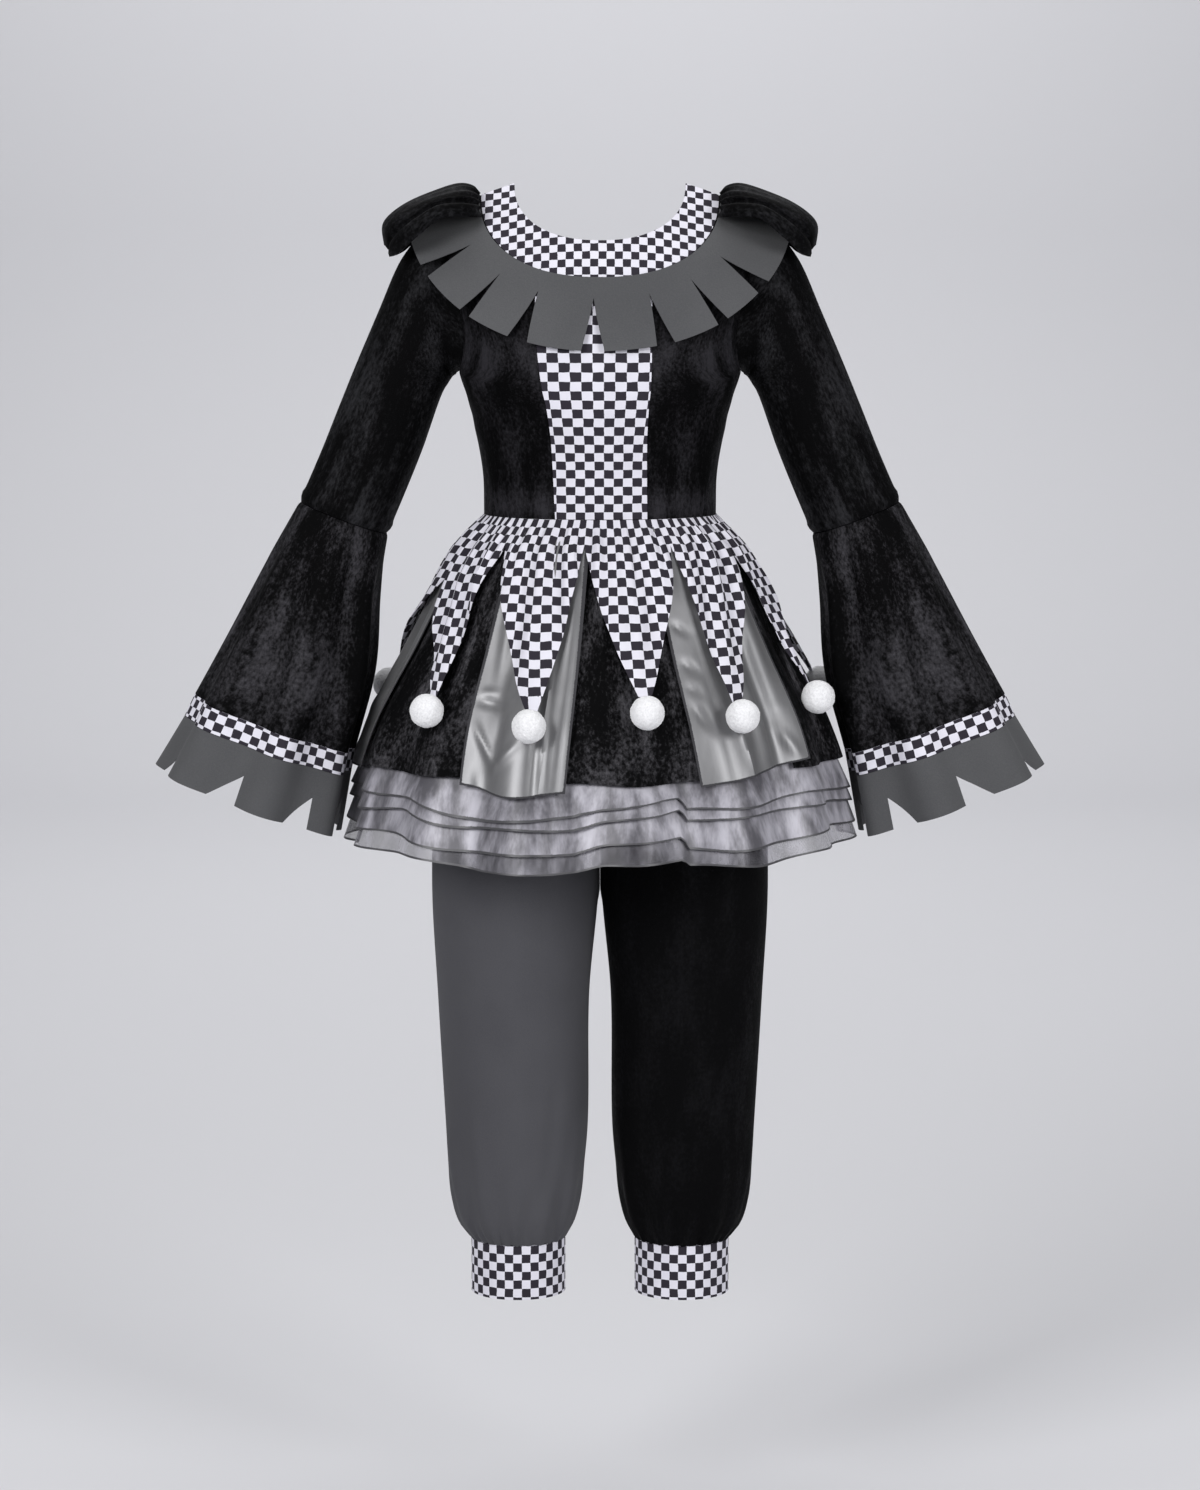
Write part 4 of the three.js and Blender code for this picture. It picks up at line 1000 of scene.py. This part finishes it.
# %% The petals
PETALS = table(
    "start drop far sag", (-103, 296, 296, 5), (-70, 290, 290, 2), (-37, 298, 303, 8), (-5.1, 292, 292, 2),
    (21, 298, 276, 0), (59.7, 286, 288, 2), (95, 298, 298, 5), (122, 293, 293, 2), (149, 303, 303, 5),
    (176, 293, 293, 2), (203, 300, 300, 5), (230, 294, 294, 2), (257, 0, 0, 0))
SATIN = dict(
    name="satin", lap_top=1.2, lap_hem=-2.8, back=0.0, back_top=0.0, fold=1.1, finish=satin, slot="grey_satin")
VELVET = dict(
    name="velvet", lap_top=4.0, lap_hem=7.0, back=5.2, back_top=1.7, fold=0.8, finish=petal_velvet,
    slot="black_velvet")
SATIN_FOLDS = (
    (30, 60, 22, 330, 9, 3.4), (52, 110, 60, 342, 8, -3.0), (78, 40, 84, 330, 10, 3.6), (100, 90, 118, 330, 8, -2.8),
    (40, 190, 96, 240, 6, 1.8), (20, 236, 70, 222, 6, -1.6), (118, 150, 128, 330, 8, 2.4),
    (60, 250, 100, 300, 6, 1.6))
RIGHT_SATIN_FOLDS = (
    (7, 228, 46, 276, 5, 3), (76, 248, 46, 278, 5, 3), (46, 215, 46, 262, 9, -2.5), (102, 150, 111, 340, 4, 3.2),
    (97, 150, 103, 340, 6, -2.4), (126, 50, 128, 340, 9, 2.6), (3, 204, 43, 209, 4, -2.0), (8, 194, 34, 196, 4, 1.5),
    (25, 70, 30, 190, 10, 3), (52, 50, 64, 180, 9, -3.2), (80, 90, 84, 240, 10, 3), (20, 280, 30, 320, 8, 2))
LEFT_SATIN_FOLDS = (
    (44, 96, 62, 152, 4, 3.4), (62, 148, 52, 244, 4, 3.6), (52, 236, 58, 340, 4, 3.6), (72, 140, 68, 340, 8, -3),
    (36, 130, 38, 340, 9, -3.4), (9, 116, 24, 128, 4, -2.4), (8, 158, 26, 172, 5, -2.6), (7, 184, 21, 196, 4, -2),
    (8, 204, 24, 236, 6, -3.2), (124, 70, 116, 210, 10, 3.4), (102, 140, 105, 340, 10, -3.8),
    (87, 170, 89, 340, 9, 2.8), (112, 240, 130, 276, 6, 2.4), (60, 50, 80, 130, 9, -2.6), (96, 60, 98, 130, 9, 2.4))
VELVET_FOLDS = (
    (34, 70, 26, 300, 10, 3.0), (66, 100, 70, 300, 12, -2.8), (98, 50, 110, 300, 10, 3.2),
    (120, 140, 132, 300, 9, -2.4))
MM_PER_DEGREE = 4.6
TURNED_PETALS = (0, 3, 6, 9, 11)
FOLD_WIDTH = 140


def petal(k, kind, number):
    start, end = PETALS["start"][k:k + 2]
    drop, far, sag = (PETALS[column][k] for column in ("drop", "far", "sag"))
    width = (end - start + kind["lap_hem"]) * MM_PER_DEGREE

    def drop_at(u, v):
        return v * (drop + (far - drop) * u + sag * np.sin(math.pi * u) ** 2)

    def form(u, v):
        fall = drop_at(u, v)
        back = kind["back_top"] + (kind["back"] - kind["back_top"]) * smooth(fall / 60)
        lap = kind["lap_top"] + (kind["lap_hem"] - kind["lap_top"]) * fall / drop
        wave = 1.1 * smooth(fall / 120) * np.cos(4 * math.pi * (u - 0.5))
        return skirt_point(start - lap + u * (end - start + 2 * lap), fall, wave - back)

    def folds(u, v):
        fall = drop_at(u, v)
        lines = VELVET_FOLDS if kind is VELVET else {2: RIGHT_SATIN_FOLDS, 4: LEFT_SATIN_FOLDS}.get(k, SATIN_FOLDS)
        turned = 1 - u if k in TURNED_PETALS else u
        calm = smooth(u * 9) * smooth((1 - u) * 9)
        gather = 0.9 * np.cos(u * 2 * math.pi * 9 + k) * (1 - smooth(fall / 110))
        return (creases(turned * FOLD_WIDTH, fall, *lines) * kind["fold"] + gather) * calm

    def edge(u, v):
        across = (0.25 + 0.75 * v) * width
        return np.minimum(np.minimum(u, 1 - u) * across, (1 - v) * drop * 1.15)

    piece, grid = lay(f"petal_{kind['name']}_{number}_cloth", 36, 80, form, folds=folds,
                      edge=edge, squares=lambda u, v: (u * width * MM, v * drop * MM), wall=0.7)
    tie(piece, grid, kind["finish"])


for k in range(12):
    petal(k, VELVET if k % 2 else SATIN, k // 2 + 1)

# %% [markdown]
# Four layers of organza stand out below the petals, each a few centimetres longer than the one above. Their edges
# are overlocked in dark thread. Each hem waves in its own way, by the extra drop that its column of the hem table
# gives. A pleat in the front lifts the hem on one side of it, as the sewn layers do there.

# %% The organza layers
LAYER = "drop inside"
ORGANZA = {"organza_1": table(LAYER, (215, 15.5), (325, 7)), "organza_2": table(LAYER, (213, 16.9), (341, 8.5)),
           "organza_3": table(LAYER, (211, 18.3), (366, 9.5)),
           "organza_4": table(LAYER, (0, 3.4), (50, 13), (205, 19), (389, 10))}
PLEAT = table(
    "angle lift out", (-180, 0, 0), (-6, 0, 0), (-5.2, 1.5, 2.2), (19.4, 13, 2.2), (20.4, 0, 0), (180, 0, 0))
LOWEST_HEM = 396
ORGANZA_ROUND = 1.9
HEM = table(
    "angle organza_1 organza_2 organza_3 organza_4", (-180, 0, 0, 0, 0), (-90, 0, 0, 0, 0), (-51, -6, -4, 1, -1),
    (-34.5, 11.5, 8, 11.5, 2), (-15.7, 12.5, 5.5, 5, 7), (-5.3, 6, 2, 5.5, 5), (1.4, -1, -4.5, 0, -2),
    (13.4, -4, -2, 2, 1), (20, -2, -4, 3, 2), (31.5, -1, -4.5, 10.5, 2), (44, -1, -3, 4.5, 1),
    (60, -7, -10, -3.5, -5), (90, 0, 0, 0, 0), (180, 0, 0, 0, 0))


def hem_angle(u):
    return (u * 360 + FLUTE_CREST + 180) % 360 - 180


def straight(sizes, drop):
    """Between its rows a layer is a straight cone, as its solid is."""
    rows = sizes["drop"]
    width = read(SKIRT, "drop", rows, "half_width") - sizes["inside"]
    flare = (width[-1] - width[-2]) / (rows[-1] - rows[-2])
    below = np.maximum(drop - rows[-1], 0) * flare
    return np.interp(drop, rows, width) + below - read(SKIRT, "drop", drop, "half_width")


def organza_layer(name, sizes, number):
    top, hem = sizes["drop"][0], sizes["drop"][-1]

    def pleat(u, column):
        return np.interp(hem_angle(u), PLEAT["angle"], PLEAT[column])

    def drop_at(u, v):
        wave = 2.2 * np.sin(u * 2 * math.pi * 5 + number) + 1.4 * np.sin(u * 2 * math.pi * 11 + 2 * number)
        wave = wave + read(HEM, "angle", hem_angle(u), name) - pleat(u, "lift") * (0.5 if number == 4 else 1)
        return top + v * (hem - top) + v ** 3 * wave

    def form(u, v):
        drop = np.minimum(drop_at(u, v), LOWEST_HEM)
        return skirt_point(u * 360 + FLUTE_CREST, drop, straight(sizes, drop) + pleat(u, "out") * v ** 3)

    def folds(u, v):
        turn = u * 2 * math.pi
        return 0.55 * np.sin(turn * 46 + 2.0 * np.sin(turn * 7 + number)) * smooth((v - 0.35) * 2)

    piece, grid = lay(f"{name}_cloth", 336, 44 if number == 4 else 22, form, folds=folds, tube=True, wall=0.5,
                      edge=lambda u, v: (1 - v) * (hem - top) * 1.1,
                      squares=lambda u, v: (u * ORGANZA_ROUND, v * (hem - top) * MM))
    tie(piece, grid, sheer_organza if number == 4 else organza,
        1.3)


for number, (name, sizes) in enumerate(ORGANZA.items(), 1):
    organza_layer(name, sizes, number)

# %% [markdown]
# The trousers are two legs, grey and black. Each is one piece of cloth, wrapped round and sewn at the inseam, full
# from hip to shin and gathered into a chequered ankle cuff. Above the crotch the two halves meet at the middle, and
# just below it the inseams touch, so the cloth is drawn together there.

# %% The trousers
CROTCH_Z = -650
INSEAM_GAP = 0.0035
INSEAMS_PART_Z = -862
LEG = table(
    "z middle half_width front back", (-390.4, 0, 131.6, 93.2, 85), (-450, -8, 141, 101, 100),
    (-540, -34, 140, 109, 114), (-610, -70, 120, 107, 117), (-650, -98.5, 97.9, 102, 112),
    (-665, -99, 98.4, 101.6, 111), (-835, -101.9, 100.5, 97, 100.5), (-970, -104.5, 91.5, 90, 93),
    (-1126, -101, 86.4, 84, 86), (-1195, -102, 81, 79, 80), (-1236, -102, 73.5, 71, 72), (-1258, -101, 65.5, 62, 63),
    (-1271, -99.5, 57.6, 54, 54))
ANKLE_GATHERS = 12
LEG_FOLDS = (
    (0.25, -700, 0.24, -1180, 0.03, 2.6), (0.33, -1240, 0.35, -1080, 0.02, 2.2),
    (0.18, -1240, 0.15, -1040, 0.02, -2.0), (0.42, -1250, 0.46, -1120, 0.02, 2.0),
    (0.1, -1250, 0.08, -1100, 0.02, 2.2), (0.62, -1240, 0.6, -980, 0.025, 2.4), (0.75, -720, 0.76, -1200, 0.03, 2.4),
    (0.85, -1240, 0.88, -1060, 0.02, -2.0), (0.05, -900, 0.12, -1000, 0.03, -1.6))


def leg_height(v):
    return LEG["z"][0] + v * (LEG["z"][-1] - LEG["z"][0])


def leg_form(u, v):
    z = leg_height(v)
    middle, half, front, back = read_each(LEG, "z", z, "middle half_width front back")
    opening = np.where(z > CROTCH_Z, np.arccos(np.clip((-SEAM - middle) / half, -1, 1)), INSEAM_GAP)
    angle = opening + u * (2 * math.pi - 2 * opening)
    gather = 2.4 * smooth((-z - 1170) / 60) * (1 - 0.75 * smooth((-z - 1250) / 20)) * np.cos(ANKLE_GATHERS * angle)
    depth = np.where(np.sin(angle) > 0, front, back)
    return np.stack([middle + (half + gather) * np.cos(angle), -(depth + gather) * np.sin(angle), z], axis=-1)


def leg_folds(u, v):
    z = leg_height(v)
    long_folds = sum(height * bell_curve(u, a + (z - z0) / (z1 - z0) * (b - a), width)
                     * smooth((z0 - z) * np.sign(z0 - z1) / 60) * smooth((z - z1) * np.sign(z0 - z1) / 60)
                     for a, z0, b, z1, width, height in LEG_FOLDS)
    fine = 1.3 * np.sin(u * 2 * math.pi * 30 + 2 * np.sin(u * 17)) * smooth((-z - 1225) / 40)
    meeting = np.clip(-read(LEG, "z", z, "middle") - read(LEG, "z", z, "half_width") - 0.1, 0, 1.6)
    both_edges = bell_curve(u, 0, 0.03) + bell_curve(u, 1, 0.03)
    meeting = meeting * smooth((z - INSEAMS_PART_Z) / 20) * (z < CROTCH_Z) * both_edges
    return (long_folds + fine) * smooth(u * 20) * smooth((1 - u) * 20) + meeting


CUFF = dict(top=-1271.4, bottom=-1338, middle=-99.5, half_width=57.2, depth=53.6)
CUFF_SQUARES, CUFF_ROWS = 34, 6.3


def cuff_form(u, v):
    angle = u * 2 * math.pi
    return np.stack([CUFF["middle"] + CUFF["half_width"] * np.cos(angle), -CUFF["depth"] * np.sin(angle),
                     CUFF["top"] + v * (CUFF["bottom"] - CUFF["top"])], axis=-1)


def turned(form):
    """The rings of a leg run the other way round, so the piece is laid mirrored and turned back."""
    return lambda u, v: form(u, v) * (-1, 1, 1)


for side, mirror, finish, slot in (("right", True, crepe, "grey_crepe"), ("left", False, leg_velvet, "black_crepe")):
    piece, grid = lay(f"leg_{side}_cloth", 100, 136, turned(leg_form), folds=leg_folds, mirror=mirror)
    tie(piece, grid, finish)
    piece, grid = lay(f"ankle_cuff_{side}_cloth", 120, 10, turned(cuff_form), tube=True, mirror=mirror,
                      squares=lambda u, v: (u * CUFF_SQUARES, -v * CUFF_ROWS),
                      folds=lambda u, v: 0.25 * np.sin(u * 2 * math.pi * 30) * (1 - v))
    tie(piece, grid, knit)

# %% [markdown]
# The trousers' waistband is a plain elasticated strip that nobody sees under the dress. It is ribbed by its gathers.

# %% The waistband
WAISTBAND_HEIGHT = 28


def waistband_form(u, v):
    angle = u * 2 * math.pi
    depth = np.where(np.cos(angle) > 0, LEG["front"][0], LEG["back"][0])
    return np.stack([LEG["half_width"][0] * np.sin(angle), -depth * np.cos(angle),
                     LEG["z"][0] + SEAM + (1 - v) * WAISTBAND_HEIGHT], axis=-1)


piece, grid = lay("trouser_waistband_cloth", 160, 6, waistband_form, tube=True,
                  folds=lambda u, v: 0.4 * np.sin(u * 2 * math.pi * 40) - 0.4)
tie(piece, grid, crepe, 1.3)
print("faces in all:", total_faces)

# %% [markdown]
# The costume is photographed against pale grey paper that sweeps up behind it, in soft even light. The sweep is a
# floor that is extruded up a curve into a wall, far enough back for the costume to be viewed from behind as well. It
# is part of the stage and not of the costume.

# %% The stage
STAGE_GREY = (0.63, 0.63, 0.655, 1)
FLOOR_Z = cad_low[2] - 0.3
FLOOR_WIDTH, FLOOR_FRONT, FLOOR_BACK, WALL_HEIGHT = 48, -24, 6.1, 5
CURVE_STEPS, CURVE_STEP = 12, 0.2


def paper_sweep():
    bpy.ops.object.select_all(action="DESELECT")
    bpy.ops.mesh.primitive_plane_add(size=1)
    sweep = bpy.context.object
    sweep.name = sweep.data.name = "paper_sweep"
    bpy.ops.object.mode_set(mode="EDIT")
    bpy.ops.mesh.select_all(action="DESELECT")
    bpy.ops.object.mode_set(mode="OBJECT")
    for vertex in sweep.data.vertices:
        vertex.co = Vector((vertex.co.x * FLOOR_WIDTH, FLOOR_FRONT if vertex.co.y < 0 else FLOOR_BACK, FLOOR_Z))
    for line in sweep.data.edges:
        line.select = all(sweep.data.vertices[i].co.y > 0 for i in line.vertices)
    bpy.ops.object.mode_set(mode="EDIT")
    bpy.ops.mesh.select_mode(type="EDGE")
    for k in range(CURVE_STEPS):
        tilt = math.radians(90 / CURVE_STEPS * (k + 0.5))
        step = (0, CURVE_STEP * math.cos(tilt), CURVE_STEP * math.sin(tilt))
        bpy.ops.mesh.extrude_region_move(TRANSFORM_OT_translate={"value": step})
    bpy.ops.mesh.extrude_region_move(TRANSFORM_OT_translate={"value": (0, 0, WALL_HEIGHT)})
    bpy.ops.object.mode_set(mode="OBJECT")
    bpy.ops.object.shade_smooth()
    paper = Finish("paper", {"Roughness": 0.95, "Specular IOR Level": 0.1})
    paper.feed("Base Color", paper.mix(paper.noise(0.4, 2), STAGE_GREY, (0.66, 0.66, 0.685, 1)))
    sweep.data.materials.append(paper.material)
    sweep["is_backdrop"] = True
    return sweep


sweep = paper_sweep()
print("sweep:", len(sweep.data.polygons), "faces")

# %% [markdown]
# Large soft lamps stand in front, to the left and right, so that black velvet shows its folds and satin gets broad
# highlights. A third hangs above the costume and lights the paper under and behind it, and a fourth lights the wall.
# The world adds a dim even fill.

# %% The lights
def soft_lamp(name, place, size, power, target=(0, 0, -0.6)):
    bpy.ops.object.light_add(type="AREA", location=place)
    lamp = bpy.context.object
    lamp.name = name
    lamp.data.size, lamp.data.energy = size, power
    aim = Vector(target) - lamp.location
    lamp.rotation_euler = aim.to_track_quat("-Z", "Y").to_euler()
    return lamp


soft_lamp("key", (-2.6, -3.4, 1.2), 1.8, 134)
soft_lamp("fill", (2.9, -3.2, 0.7), 1.8, 110)
soft_lamp("paper", (0, 0.7, 2.4), 2.6, 47, (0, 1.3, -1.6))
soft_lamp("backdrop", (0, 4.6, 3.4), 3.5, 156, (0, 6.9, -1.2))
world = bpy.data.worlds.new("studio")
world.use_nodes = True
world.node_tree.nodes["Background"].inputs["Color"].default_value = (0.86, 0.87, 0.9, 1)
world.node_tree.nodes["Background"].inputs["Strength"].default_value = 0.27
bpy.context.scene.world = world

# %% [markdown]
# The photograph is taken from nearly five metres away, level with the neck and tilted down by 7.65 degrees, with a
# long lens. The picture is taller than wide, so the sensor's 36 mm are its long side.

# %% The camera
CAMERA_AWAY = 4.9
CAMERA_HEIGHT = -0.010
CAMERA_DOWN = 7.65
FOCAL_PIXELS, FRAME_HEIGHT, SENSOR = 4120, 1490, 36
bpy.ops.object.camera_add(location=(0, -CAMERA_AWAY, CAMERA_HEIGHT), rotation=(math.radians(90 - CAMERA_DOWN), 0, 0))
camera = bpy.context.object
camera.data.sensor_width = SENSOR
camera.data.lens = FOCAL_PIXELS / FRAME_HEIGHT * SENSOR
bpy.context.scene.camera = camera
bpy.context.scene.view_settings.view_transform = "Standard"
print("lens", round(camera.data.lens, 1))

# %% [markdown]
# Last, the dressed model's box is printed, as the solid model's was at the start.

# %% Print the dressed model's box
low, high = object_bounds()
print("dressed model from", [round(c, 3) for c in low], "to", [round(c, 3) for c in high])
